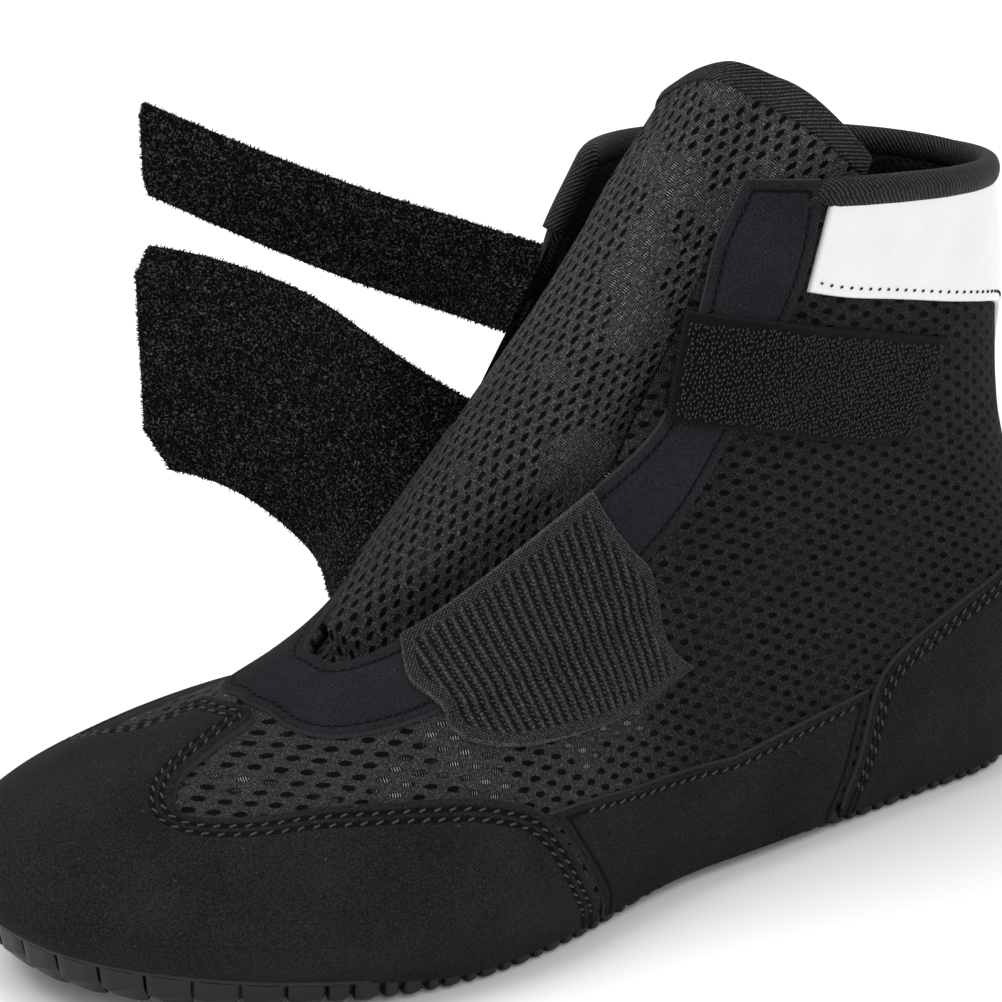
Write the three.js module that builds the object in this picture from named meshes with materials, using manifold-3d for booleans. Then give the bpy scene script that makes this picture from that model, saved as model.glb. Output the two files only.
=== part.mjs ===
// A wrestling shoe for the left foot: thin rubber outsole, mesh upper with suede overlays, a padded
// tongue and two fastening straps held open on the medial side. Millimetres, +Z up, +X to the toe and
// +Y to the lateral side, with the origin at the centre of the flat spot under the heel.
import * as THREE from "three";
import Module from "manifold-3d";
import { mergeVertices } from "three/addons/utils/BufferGeometryUtils.js";

const wasm = await Module();
wasm.setup();

// Driving dimensions of the last
const soleLength = 272;
const ballWidth = 100;
const heelWidth = 69;
const shaftHeight = 146;
const toeSpring = 9;
const toeWrap = 3.5;
const collarLift = 2.8;

// Outsole and insole
const soleThickness = 5;
const archLift = 1.6;
const soleEdgeInset = 3;
const sideLugPitch = 9.5;
const sideLugGap = 2.2;
const sideLugDepth = 7;
const treadPitch = 15;
const treadGap = 2.4;
const treadDepth = 1.6;
const insoleThickness = 3;

// Upper, its overlays and its collar
const upperWall = 2.2;
const suedeThickness = 1.1;
const toeCapThickness = 1.5;
const bandThickness = 0.9;
const hookThickness = 1.6;
const collarRollHeight = 6.6;
const collarRollThickness = 5;

// Tongue and straps
const tongueThickness = 6.5;
const tongueBulge = 4.2;
const tongueLean = 7;
const tongueBindingWidth = 8;
const strapThickness = 2.2;
const strapUpperWidth = 22;
const strapLowerWidth = 54;

// Clearances between pieces that lie on each other
const seatGap = 0.3;
const curvedGap = 0.45;

// Rings round the last, from the feather line up to above the collar. back and front are the ends of a
// ring, X as a share of soleLength and Z of shaftHeight; heel is a half width as a share of heelWidth,
// waist and ball are half widths as shares of ballWidth; heelRound and noseRound are how far the round
// ends reach, as shares of soleLength; inset shifts the toe to the medial side, a share of ballWidth.
const ringColumns = [
  "backX", "backZ", "frontX", "frontZ", "heel", "waistLateral", "waistMedial",
  "ballLateral", "ballMedial", "heelRound", "noseRound", "nosePower", "inset",
];
const ringRows = [
  [0.018, 0.0, 0.982, 0.0, 0.464, 0.35, 0.285, 0.47, 0.46, 0.12, 0.32, 2.35, 0.08],
  [0.004, 0.1, 0.996, 0.085, 0.5, 0.382, 0.32, 0.5, 0.48, 0.13, 0.3, 2.35, 0.08],
  [0.004, 0.225, 0.965, 0.17, 0.493, 0.37, 0.33, 0.47, 0.435, 0.13, 0.32, 2.2, 0.085],
  [0.016, 0.35, 0.912, 0.222, 0.478, 0.355, 0.325, 0.44, 0.385, 0.13, 0.36, 2.1, 0.095],
  [0.034, 0.47, 0.835, 0.268, 0.464, 0.345, 0.32, 0.41, 0.3, 0.13, 0.38, 2.0, 0.095],
  [0.048, 0.582, 0.697, 0.39, 0.45, 0.335, 0.32, 0.375, 0.345, 0.13, 0.36, 2.0, 0.05],
  [0.055, 0.695, 0.592, 0.64, 0.456, 0.34, 0.33, 0.36, 0.36, 0.13, 0.3, 2.0, 0.01],
  [0.06, 0.815, 0.503, 0.812, 0.478, 0.36, 0.36, 0.36, 0.36, 0.14, 0.24, 2.0, 0.0],
  [0.07, 0.945, 0.421, 1.0, 0.493, 0.38, 0.38, 0.38, 0.38, 0.16, 0.18, 2.0, 0.0],
  [0.08, 1.05, 0.348, 1.18, 0.5, 0.39, 0.39, 0.39, 0.39, 0.16, 0.18, 2.0, 0.0],
];
const collarRing = 8;
const liftStartRing = 6;
const topRing = ringRows.length - 1;

// Stations along the last where the width turns from heel to waist and from waist to ball, where the
// toe starts to rise and where the rubber starts to wrap up the toe, as shares of soleLength.
const heelEnd = 0.13;
const waistAt = 0.42;
const ballAt = 0.7;
const springStart = 0.66;
const wrapStart = 0.7;
const wrapEnd = 0.98;
const toeTurnStart = 0.55;
const heelRest = 0.13;

// Edges of the overlays on the last as [turn, ring]: turn is 0 at the back of the heel, 1 at the toe on
// the lateral side and 2 back at the heel on the medial side, ring is the row of the table above.
const throatEdge = [
  [1.0, 4.87], [0.943, 4.87], [0.89, 5.02], [0.844, 5.23], [0.803, 5.39], [0.765, 5.58], [0.73, 5.77],
  [0.701, 5.98], [0.694, 6.25], [0.715, 6.77], [0.739, 7.17], [0.763, 7.56], [0.769, 8.0],
];
const facingEdge = [
  [1.0, 4.46], [0.942, 4.44], [0.856, 4.26], [0.813, 4.19], [0.778, 4.21], [0.746, 4.31], [0.7, 4.62],
  [0.655, 4.92], [0.629, 5.19], [0.608, 5.46], [0.597, 5.8], [0.594, 6.2], [0.598, 6.7], [0.606, 7.25],
  [0.625, 7.67], [0.65, 8.0],
];
const capEdge = [
  [0.544, 0.14], [0.55, 0.5], [0.557, 0.85], [0.568, 1.25], [0.583, 1.7], [0.606, 2.21], [0.633, 2.56],
  [0.665, 2.8], [0.717, 2.95], [0.76, 2.97], [0.8, 2.86], [0.839, 2.83], [0.869, 2.98], [0.89, 3.3],
  [0.91, 3.68], [0.926, 4.05], [0.945, 4.36], [1.0, 4.43],
];
const randEdge = [
  [0.345, 1.86], [0.37, 1.82], [0.403, 1.76], [0.458, 1.62], [0.531, 1.8], [0.57, 1.98], [0.6, 2.05],
];
const counterEdge = [
  [0.0, 2.98], [0.11, 2.95], [0.214, 2.8], [0.275, 2.55], [0.324, 2.22], [0.343, 1.85],
  [0.351, 1.2], [0.356, 0.14],
];
const bandTopRing = 7.84;
const bandEdge = [
  [0.0, 3.06], [0.062, 3.06], [0.072, 4.0], [0.084, 4.9], [0.106, 5.6], [0.144, 6.08], [0.2, 6.34],
  [0.28, 6.53], [0.36, 6.69], [0.45, 6.86], [0.53, 6.99], [0.592, 7.1],
];
const lowerPatch = {
  front: [[0.885, 5.06], [0.82, 4.72], [0.745, 4.36], [0.685, 3.82], [0.632, 3.38], [0.586, 3.17], [0.54, 3.04]],
  back: [[0.736, 5.76], [0.7, 5.56], [0.66, 5.34], [0.622, 5.1], [0.575, 4.6], [0.53, 3.95], [0.498, 3.36]],
};
const upperPatch = {
  top: [[0.752, 7.06], [0.675, 6.98], [0.597, 6.87], [0.46, 6.58], [0.328, 6.24]],
  bottom: [[0.69, 6.16], [0.63, 6.04], [0.572, 5.92], [0.47, 5.62], [0.35, 5.26]],
};

// Straps: root is the place on the last where the free part leaves it; sewn is how far the sewn tab runs
// back from there, in turns; heading is where the free part points, in degrees from the toe to the
// medial side; reach and rise are its run and climb, bow and droop how far it bows to the medial side
// and down, in mm.
const straps = {
  strap_upper: {
    root: [1.36, 6.6], sewn: 0.12, width: strapUpperWidth, reach: 94, heading: 50, rise: 28, bow: 4, droop: 4,
  },
  strap_lower: {
    root: [1.31, 5.08], sewn: 0.12, width: strapLowerWidth, reach: 66, heading: 58, rise: 31, bow: 4, droop: -7,
  },
};

const suede = { color: 0x161617, roughness: 0.92, metalness: 0 };
const meshCloth = { color: 0x1c1c1e, roughness: 0.85, metalness: 0 };
const rubber = { color: 0x121212, roughness: 0.7, metalness: 0 };
const whiteSynthetic = { color: 0xe9e9ea, roughness: 0.35, metalness: 0 };
const twill = { color: 0x151516, roughness: 0.8, metalness: 0 };
const hookTape = { color: 0x101011, roughness: 0.6, metalness: 0 };
const loopTape = { color: 0x131314, roughness: 0.95, metalness: 0 };
const foam = { color: 0x242426, roughness: 0.9, metalness: 0 };

const { clamp, smoothstep, lerp, degToRad } = THREE.MathUtils;

function catmull(values, t) {
  const last = values.length - 1;
  const at = clamp(t, 0, last - 1e-9);
  const i = Math.floor(at);
  const f = at - i;
  const p1 = values[i];
  const p2 = values[i + 1];
  const p0 = i > 0 ? values[i - 1] : 2 * p1 - p2;
  const p3 = i < last - 1 ? values[i + 2] : 2 * p2 - p1;
  const bend = 2 * p0 - 5 * p1 + 4 * p2 - p3 + f * (3 * (p1 - p2) + p3 - p0);
  return p1 + 0.5 * f * (p2 - p0 + f * bend);
}

const ringColumn = {};
ringColumns.forEach((name, column) => {
  ringColumn[name] = ringRows.map((row) => row[column]);
});

function toeRise(share) {
  return toeSpring * clamp((share - springStart) / (1 - springStart), 0, 1.1) ** 2;
}

function rubberWrap(share) {
  return toeWrap * smoothstep(share, wrapStart, wrapEnd);
}

// A point on the outside of the last.
function lastPoint(turn, ring) {
  const at = (name) => catmull(ringColumn[name], ring);
  const tau = Math.PI * turn;
  const lateral = Math.sin(tau) >= 0;
  const along = (1 - Math.cos(tau)) / 2;
  const backX = at("backX");
  const frontX = at("frontX");
  const share = lerp(backX, frontX, along);
  const rise = shaftHeight * lerp(at("backZ"), at("frontZ"), along);
  const wrap = rubberWrap(share) * clamp(1 - ring, 0, 1);
  const waist = ballWidth * at(lateral ? "waistLateral" : "waistMedial");
  const ball = ballWidth * at(lateral ? "ballLateral" : "ballMedial");
  const behind = lerp(heelWidth * at("heel"), waist, smoothstep(share, heelEnd, waistAt));
  const halfWidth = lerp(behind, ball, smoothstep(share, waistAt, ballAt));
  const intoHeel = clamp(1 - (share - backX) / at("heelRound"), 0, 1);
  const intoNose = clamp(1 - (frontX - share) / at("noseRound"), 0, 1);
  const power = at("nosePower");
  const round = Math.sqrt(1 - intoHeel ** 2) * (1 - intoNose ** power) ** (1 / power);
  const toeShift = ballWidth * at("inset") * smoothstep(share, toeTurnStart, 1);
  const y = (lateral ? 1 : -1) * halfWidth * round - toeShift;
  const lift = collarLift * Math.max(Math.sin(tau), 0) * smoothstep(ring, liftStartRing, collarRing);
  return new THREE.Vector3(share * soleLength, y, soleThickness + rise + toeRise(share) + wrap + lift);
}

function lastNormal(turn, ring) {
  const stepTurn = 0.004;
  const stepRing = 0.02;
  const round = lastPoint(turn + stepTurn, ring).sub(lastPoint(turn - stepTurn, ring));
  const upper = Math.min(ring + stepRing, topRing);
  const lower = Math.max(ring - stepRing, 0);
  const up = lastPoint(turn, upper).sub(lastPoint(turn, lower));
  return up.cross(round).normalize();
}

// A point at a height over the last, negative inside it.
function skin(turn, ring, height) {
  return lastPoint(turn, ring).addScaledVector(lastNormal(turn, ring), height);
}

// The ring reached by going a length up or down the last from a ring.
function ringBelow(turn, ring, length) {
  const perRing = lastPoint(turn, ring).distanceTo(lastPoint(turn, ring - 0.5)) / 0.5;
  return ring - length / perRing;
}

// An edge table as a smooth path: a share from 0 to 1 gives [turn, ring].
function edgePath(points) {
  const turns = points.map((p) => p[0]);
  const rings = points.map((p) => p[1]);
  return (share) => {
    const at = share * (points.length - 1);
    return [catmull(turns, at), catmull(rings, at)];
  };
}

function medialOf([turn, ring]) {
  return [2 - turn, ring];
}

// The height of an edge table at a turn, for edges that run round the shoe.
function ringAtTurn(points, turn) {
  const rising = points[0][0] < points[points.length - 1][0] ? points : [...points].reverse();
  const next = rising.findIndex((p) => p[0] >= turn);
  if (next <= 0) return rising[next < 0 ? rising.length - 1 : 0][1];
  const [turnA, ringA] = rising[next - 1];
  const [turnB, ringB] = rising[next];
  return lerp(ringA, ringB, (turn - turnA) / (turnB - turnA));
}

function meshFrom(positions, triangles) {
  const geometry = new THREE.BufferGeometry();
  geometry.setAttribute("position", new THREE.Float32BufferAttribute(positions, 3));
  geometry.setIndex(triangles);
  return geometry;
}

function signedVolume(positions, triangles) {
  const corner = (i) => new THREE.Vector3().fromArray(positions, 3 * i);
  let sum = 0;
  for (let i = 0; i < triangles.length; i += 3) {
    const a = corner(triangles[i]);
    const b = corner(triangles[i + 1]);
    sum += a.dot(b.cross(corner(triangles[i + 2])));
  }
  return sum / 6;
}

// A closed solid between two grids of points with the same numbers of rows and columns, with its edges
// walled. looped joins the last row to the first one.
function solidBetween(outer, inner, looped) {
  const rows = outer.length;
  const columns = outer[0].length;
  const positions = [];
  [outer, inner].forEach((grid) => grid.forEach((row) => row.forEach((p) => positions.push(p.x, p.y, p.z))));
  const index = (side, row, column) => (side * rows + (row % rows)) * columns + column;
  const triangles = [];
  const corner = (i) => new THREE.Vector3().fromArray(positions, 3 * i);
  const quad = (a, b, c, d) => {
    const straight = corner(a).distanceTo(corner(c)) <= corner(b).distanceTo(corner(d));
    triangles.push(...(straight ? [a, b, c, a, c, d] : [b, c, d, b, d, a]));
  };
  const lastRow = looped ? rows : rows - 1;
  for (let i = 0; i < lastRow; i++) {
    for (let j = 0; j < columns - 1; j++) {
      quad(index(0, i, j), index(0, i + 1, j), index(0, i + 1, j + 1), index(0, i, j + 1));
      quad(index(1, i, j), index(1, i, j + 1), index(1, i + 1, j + 1), index(1, i + 1, j));
    }
    const edge = columns - 1;
    quad(index(0, i, 0), index(1, i, 0), index(1, i + 1, 0), index(0, i + 1, 0));
    quad(index(0, i, edge), index(0, i + 1, edge), index(1, i + 1, edge), index(1, i, edge));
  }
  if (!looped) {
    for (let j = 0; j < columns - 1; j++) {
      quad(index(0, 0, j), index(0, 0, j + 1), index(1, 0, j + 1), index(1, 0, j));
      quad(index(0, rows - 1, j), index(1, rows - 1, j), index(1, rows - 1, j + 1), index(0, rows - 1, j + 1));
    }
  }
  if (signedVolume(positions, triangles) < 0) {
    for (let i = 0; i < triangles.length; i += 3) {
      [triangles[i + 1], triangles[i + 2]] = [triangles[i + 2], triangles[i + 1]];
    }
  }
  return meshFrom(positions, triangles);
}

function grid(rows, columns, point, looped = false) {
  const lastRow = looped ? rows : rows + 1;
  return Array.from({ length: lastRow }, (_, i) =>
    Array.from({ length: columns + 1 }, (_, j) => point(i / rows, j / columns)),
  );
}

// How far the middle of each facet of a grid on the last lies below the last, at the corners of the grid.
function facetSag(rows, columns, place) {
  const at = grid(rows, columns, (u, v) => skin(...place(u, v), 0));
  const sag = at.map((row) => row.map(() => 0));
  for (let i = 0; i < rows; i++) {
    for (let j = 0; j < columns; j++) {
      const spot = place((i + 0.5) / rows, (j + 0.5) / columns);
      const corners = [at[i][j], at[i + 1][j], at[i][j + 1], at[i + 1][j + 1]];
      const middle = corners.reduce((sum, p) => sum.addScaledVector(p, 0.25), new THREE.Vector3());
      const depth = Math.max(0, lastPoint(...spot).sub(middle).dot(lastNormal(...spot)));
      [[i, j], [i + 1, j], [i, j + 1], [i + 1, j + 1]].forEach(([row, column]) => {
        sag[row][column] = Math.max(sag[row][column], depth);
      });
    }
  }
  return sag;
}

// An overlay on the last: place gives the [turn, ring] of a share along it and a share across it, base
// the height of its underside, which is raised where its facets would sink into the last.
function overlayOn(place, rows, columns, base, thickness) {
  const baseAt = typeof base === "function" ? base : () => base;
  const sag = facetSag(rows, columns, place);
  const side = (extra) =>
    grid(rows, columns, (u, v) => {
      const [turn, ring] = place(u, v);
      const raised = sag[Math.round(u * rows)][Math.round(v * columns)];
      return skin(turn, ring, baseAt(turn, ring) + raised + extra);
    });
  return solidBetween(side(thickness), side(0), false);
}

// An overlay between a lower and an upper edge, each a path of [turn, ring].
function overlay(lower, upper, rows, columns, base, thickness) {
  const place = (u, v) => {
    const [turnA, ringA] = lower(u);
    const [turnB, ringB] = upper(u);
    return [lerp(turnA, turnB, v), lerp(ringA, ringB, v)];
  };
  return overlayOn(place, rows, columns, base, thickness);
}

function toManifold(geometry) {
  const plain = geometry.clone();
  plain.deleteAttribute("normal");
  plain.deleteAttribute("uv");
  const merged = mergeVertices(plain, 1e-4);
  return new wasm.Manifold(
    new wasm.Mesh({
      numProp: 3,
      vertProperties: new Float32Array(merged.attributes.position.array),
      triVerts: new Uint32Array(merged.index.array),
    }),
  );
}

function fromManifold(solid) {
  const made = solid.getMesh();
  return meshFrom(Array.from(made.vertProperties), Array.from(made.triVerts));
}

// A solid with the forms of its neighbours, each grown by the gap, cut out of it.
function clearOf(geometry, forms) {
  const bodies = forms.reduce((solid, form) => solid.subtract(form), toManifold(geometry)).decompose();
  return fromManifold(bodies.reduce((most, body) => (body.volume() > most.volume() ? body : most)));
}

// Sole

function soleTop(share) {
  return soleThickness + toeRise(share) + rubberWrap(share) - seatGap;
}

function soleBottom(share) {
  const arch = smoothstep(share, 0.24, 0.36) * (1 - smoothstep(share, 0.46, 0.58));
  return toeRise(share) + archLift * arch;
}

// The outline of the sole at a turn, moved in by an inset.
function solePoint(turn, inset, height) {
  const edge = lastPoint(turn, 0);
  const out = lastNormal(turn, 0);
  out.z = 0;
  edge.addScaledVector(out.normalize(), -inset);
  edge.z = height(edge.x / soleLength);
  return edge;
}

// A slab whose outline at each level is the sole's, levels from the bottom to the top.
function soleSlab(levels, turns) {
  const halfTurns = turns / 2;
  const positions = [];
  levels.forEach(({ inset, height }) => {
    for (let i = 0; i < turns; i++) {
      const p = solePoint((2 * i) / turns, inset, height);
      positions.push(p.x, p.y, p.z);
    }
  });
  const index = (level, i) => level * turns + ((i + turns) % turns);
  const triangles = [];
  for (let level = 0; level < levels.length - 1; level++) {
    for (let i = 0; i < turns; i++) {
      triangles.push(index(level, i), index(level + 1, i), index(level, i + 1));
      triangles.push(index(level, i + 1), index(level + 1, i), index(level + 1, i + 1));
    }
  }
  const top = levels.length - 1;
  for (let i = 0; i < halfTurns; i++) {
    if (i > 0) {
      triangles.push(index(0, i), index(0, i + 1), index(0, -i));
      triangles.push(index(top, i), index(top, -i), index(top, i + 1));
    }
    if (i < halfTurns - 1) {
      triangles.push(index(0, -i), index(0, i + 1), index(0, -i - 1));
      triangles.push(index(top, -i), index(top, -i - 1), index(top, i + 1));
    }
  }
  if (signedVolume(positions, triangles) < 0) {
    for (let i = 0; i < triangles.length; i += 3) {
      [triangles[i + 1], triangles[i + 2]] = [triangles[i + 2], triangles[i + 1]];
    }
  }
  return meshFrom(positions, triangles);
}

// Slots in the side of the sole that leave its side lugs, wider apart and slanted at the toe.
function sideSlots() {
  const slots = [];
  const steps = 720;
  let travelled = 0;
  let before = solePoint(0, 0, soleBottom);
  for (let i = 1; i <= steps; i++) {
    const turn = (2 * i) / steps;
    const here = solePoint(turn, 0, soleBottom);
    travelled += here.distanceTo(before);
    if (travelled >= sideLugPitch) {
      travelled = 0;
      const share = here.x / soleLength;
      const inForefoot = share > 0.56;
      if (!inForefoot && share > 0.22) continue;
      const slotHeight = soleThickness * (inForefoot ? 0.62 : 0.34);
      const box = new THREE.BoxGeometry(2 * sideLugDepth, sideLugGap, 2 * slotHeight);
      const heading = Math.atan2(here.y - before.y, here.x - before.x) + Math.PI / 2;
      const slant = inForefoot ? degToRad(18) : 0;
      box.rotateZ(heading + slant);
      box.translate(here.x, here.y, soleBottom(share));
      slots.push(box);
    }
    before = here;
  }
  return slots;
}

function treadGrooves() {
  const grooves = [];
  for (let x = heelRest * soleLength - treadPitch * 1.5; x < soleLength * 0.95; x += treadPitch) {
    const share = x / soleLength;
    const inArch = share > 0.27 && share < 0.56;
    if (share < 0.04 || inArch) continue;
    const box = new THREE.BoxGeometry(treadGap, 2 * ballWidth, 2 * treadDepth);
    box.rotateY(-Math.atan((2 * toeRise(share)) / (Math.max(share - springStart, 0.01) * soleLength)) * 0.5);
    box.translate(x, 0, soleBottom(share));
    grooves.push(box);
  }
  return grooves;
}

function outsole() {
  const middle = (share) => lerp(soleBottom(share), soleTop(share), 0.55);
  const slab = soleSlab(
    [
      { inset: soleEdgeInset, height: soleBottom },
      { inset: soleEdgeInset * 0.2, height: middle },
      { inset: 0, height: soleTop },
    ],
    84,
  );
  const cuts = [...sideSlots(), ...treadGrooves()].map(toManifold);
  return fromManifold(toManifold(slab).subtract(wasm.Manifold.union(cuts)));
}

function insole() {
  const inset = upperWall + 2 * seatGap;
  const under = (share) => soleThickness + toeRise(share) + rubberWrap(share);
  return soleSlab(
    [
      { inset, height: under },
      { inset, height: (share) => under(share) + insoleThickness },
    ],
    48,
  );
}

// Upper

// The top edge of the upper as a closed path of [turn, ring] that starts and ends at the throat's base:
// up the lateral throat edge, round the collar under its roll, and down the medial throat edge.
const throatPath = edgePath(throatEdge);
const throatBase = throatEdge[0][1];
const throatTop = throatEdge[throatEdge.length - 1][0];
const throatShare = 0.27;
const medialSetBack = 0.035;

function rollSeatRing(turn) {
  return ringBelow(turn, collarRing, collarRollHeight);
}

// The lateral facing runs up to the collar, so there the upper's edge has no roll on it.
function collarEdgeRing(turn) {
  const facingTop = facingEdge[facingEdge.length - 1][0];
  return lerp(rollSeatRing(turn), collarRing, smoothstep(turn, facingTop - 0.022, facingTop));
}

// The medial throat edge lies further back, where the straps are sewn on.
function medialThroat(share) {
  const [turn, ring] = throatPath(share);
  const setBack = medialSetBack * smoothstep(ring, throatBase, 5.6) * (1 - smoothstep(ring, 6.7, 7.6));
  const top = rollSeatRing(turn);
  return medialOf([turn - setBack, lerp(throatBase, top, (ring - throatBase) / (collarRing - throatBase))]);
}

function topLine(share) {
  if (share <= throatShare) return throatPath(share / throatShare);
  if (share >= 1 - throatShare) return medialThroat((1 - share) / throatShare);
  const turn = lerp(throatTop, -throatTop, (share - throatShare) / (1 - 2 * throatShare));
  return [turn, collarEdgeRing(turn)];
}

// Where the column of the upper under a place of its top edge meets the sole.
function featherTurn(share) {
  const lateral = share <= 0.5;
  const s = lateral ? share : 1 - share;
  const throatFoot = 0.52;
  const turn =
    s <= throatShare
      ? lerp(1, throatFoot, s / throatShare)
      : lerp(throatFoot, 0, (s - throatShare) / (0.5 - throatShare));
  return lateral ? turn : 2 - turn;
}

// The wall of the upper, grown by a gap on its faces and its top edge.
function upperForm(grow) {
  const rows = 62;
  const columns = 12;
  const point = (u, v, height) => {
    const [turn, ring] = topLine(u);
    return skin(lerp(featherTurn(u), turn < 0 ? turn + 2 : turn, v), ring * v, height);
  };
  const side = (height) =>
    grid(rows, columns, (u, v) => point(u, v, height), true).map((row) => {
      if (grow === 0) return row;
      const top = row[columns];
      const rim = top.clone().add(top.clone().sub(row[columns - 1]).setLength(grow));
      return [...row, rim];
    });
  return solidBetween(side(grow), side(-upperWall - grow), true);
}

// Overlays of the upper

// Where the overlays that reach the sole end.
const footRing = 0.06;

// How many faces each overlay has along and across.
const faces = {
  toeCap: [40, 5],
  midfootRand: [10, 3],
  heelCounter: [24, 4],
  collarBand: [38, 3],
  throatFacing: [40, 2],
  hookPatchLower: [10, 5],
  hookPatchUpper: [10, 3],
};

function alongTurns(from, to, ringAt) {
  return (share) => {
    const turn = lerp(from, to, share);
    return [turn, ringAt(turn)];
  };
}

// The cap's middle is wider on the medial side.
const capMedialSpread = 0.05;
const capMedialDrop = 0.1;

function medialCap([turn, ring]) {
  const spread = smoothstep(turn, 0.8, 0.87) * (1 - smoothstep(turn, 0.95, 1));
  return [2 - turn + capMedialSpread * spread, ring - capMedialDrop * spread];
}

function toeCap() {
  const edge = edgePath([...capEdge, ...capEdge.slice(0, -1).reverse().map(medialCap)]);
  const foot = alongTurns(capEdge[0][0], 2 - capEdge[0][0], () => footRing);
  return overlay(foot, edge, ...faces.toeCap, curvedGap, toeCapThickness);
}

// The rand fills the side between the counter and the toe cap.
function midfootRand(medial) {
  const turnOf = (points) => points.map(([turn, ring]) => [ring, turn]);
  const counterTurn = (ring) => ringAtTurn(turnOf(counterEdge), ring) + 0.008;
  const capTurn = (ring) => ringAtTurn(turnOf(capEdge.slice(0, 8)), ring) - 0.007;
  const place = (u, v) => {
    const top = ringAtTurn(randEdge, lerp(counterTurn(1.8), capTurn(2), u));
    const ring = lerp(footRing, top, v);
    const spot = [lerp(counterTurn(ring), capTurn(ring), u), ring];
    return medial ? medialOf(spot) : spot;
  };
  return overlayOn(place, ...faces.midfootRand, curvedGap, suedeThickness);
}

function heelCounter() {
  const edge = edgePath([...counterEdge.slice(1).reverse().map(([turn, ring]) => [-turn, ring]), ...counterEdge]);
  const end = counterEdge[counterEdge.length - 1][0];
  const foot = alongTurns(-end, end, () => footRing);
  return overlay(foot, edge, ...faces.heelCounter, curvedGap, suedeThickness);
}

function collarBand() {
  const ends = bandEdge[bandEdge.length - 1][0];
  const edge = edgePath([...bandEdge.slice(1).reverse().map(([turn, ring]) => [-turn, ring]), ...bandEdge]);
  const top = (share) => {
    const turn = edge(share)[0] * (1 + 0.045 * Math.abs(edge(share)[0] / ends) ** 3);
    return [turn, Math.min(bandTopRing, rollSeatRing(turn))];
  };
  return overlay(edge, top, ...faces.collarBand, curvedGap, bandThickness);
}

// The facing round the throat: a horseshoe between the throat edge and the facing edge.
function throatFacing(grow = 0) {
  const side = edgePath(facingEdge);
  const medialSide = (share) => {
    const [turn, ring] = side(share);
    return medialOf([turn, Math.min(ring, rollSeatRing(turn) - 0.06)]);
  };
  const inner = (share) => (share <= 0.5 ? throatPath(1 - 2 * share) : medialThroat(2 * share - 1));
  const outer = (share) => (share <= 0.5 ? side(1 - 2 * share) : medialSide(2 * share - 1));
  const margin = grow / lastPoint(...outer(0.25)).distanceTo(lastPoint(...inner(0.25)));
  const place = (u, v) => {
    const [turnA, ringA] = outer(u);
    const [turnB, ringB] = inner(u);
    const across = lerp(-margin, 1 + margin, v);
    return [lerp(turnA, turnB, across), lerp(ringA, ringB, across)];
  };
  return overlayOn(place, ...faces.throatFacing, curvedGap + seatGap - 2 * grow, suedeThickness + 3 * grow);
}

// How far a place is inside the facing, from 0 outside it to 1 well inside it.
function onFacing(turn, ring) {
  const edge = facingEdge.filter((p) => p[1] > 4.3);
  const rings = edge.map((p) => p[1]);
  const next = rings.findIndex((r, i) => i > 0 && r >= ring && rings[i - 1] <= ring);
  if (next < 0) return 1;
  const share = (ring - rings[next - 1]) / (rings[next] - rings[next - 1]);
  const facingTurn = lerp(edge[next - 1][0], edge[next][0], share);
  return smoothstep(turn, facingTurn - 0.07, facingTurn - 0.02);
}

function hookPatch(near, far, counts) {
  const base = (turn, ring) => curvedGap + (suedeThickness + curvedGap) * onFacing(turn, ring);
  return overlay(edgePath(near), edgePath(far), ...counts, base, hookThickness);
}

// Collar roll

// A solid swept along a path of frames, each { at, out, up }, with a round section of a given half
// thickness along out and half height along up.
function sweptRoll(frames, halfThickness, halfHeight, sides) {
  const ring = ({ at, out, up }, scale) =>
    Array.from({ length: sides }, (_, i) => {
      const angle = (2 * Math.PI * i) / sides;
      const p = at.clone().addScaledVector(out, scale * halfThickness * Math.cos(angle));
      return p.addScaledVector(up, scale * halfHeight * Math.sin(angle));
    });
  const rings = frames.map((frame) => ring(frame, 1));
  const positions = [];
  rings.forEach((points) => points.forEach((p) => positions.push(p.x, p.y, p.z)));
  const index = (row, i) => row * sides + (i % sides);
  const triangles = [];
  for (let row = 0; row < rings.length - 1; row++) {
    for (let i = 0; i < sides; i++) {
      triangles.push(index(row, i), index(row + 1, i), index(row + 1, i + 1));
      triangles.push(index(row, i), index(row + 1, i + 1), index(row, i + 1));
    }
  }
  [0, rings.length - 1].forEach((row, end) => {
    for (let i = 1; i < sides - 1; i++) {
      const [b, c] = end ? [i + 1, i] : [i, i + 1];
      triangles.push(index(row, 0), index(row, b), index(row, c));
    }
  });
  if (signedVolume(positions, triangles) < 0) {
    for (let i = 0; i < triangles.length; i += 3) {
      [triangles[i + 1], triangles[i + 2]] = [triangles[i + 2], triangles[i + 1]];
    }
  }
  return meshFrom(positions, triangles);
}

// The roll starts this far behind the lateral facing, in turns, and ends at this share of the medial
// throat edge.
const rollStartBehind = 0.035;
const rollEndShare = 0.62;

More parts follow.
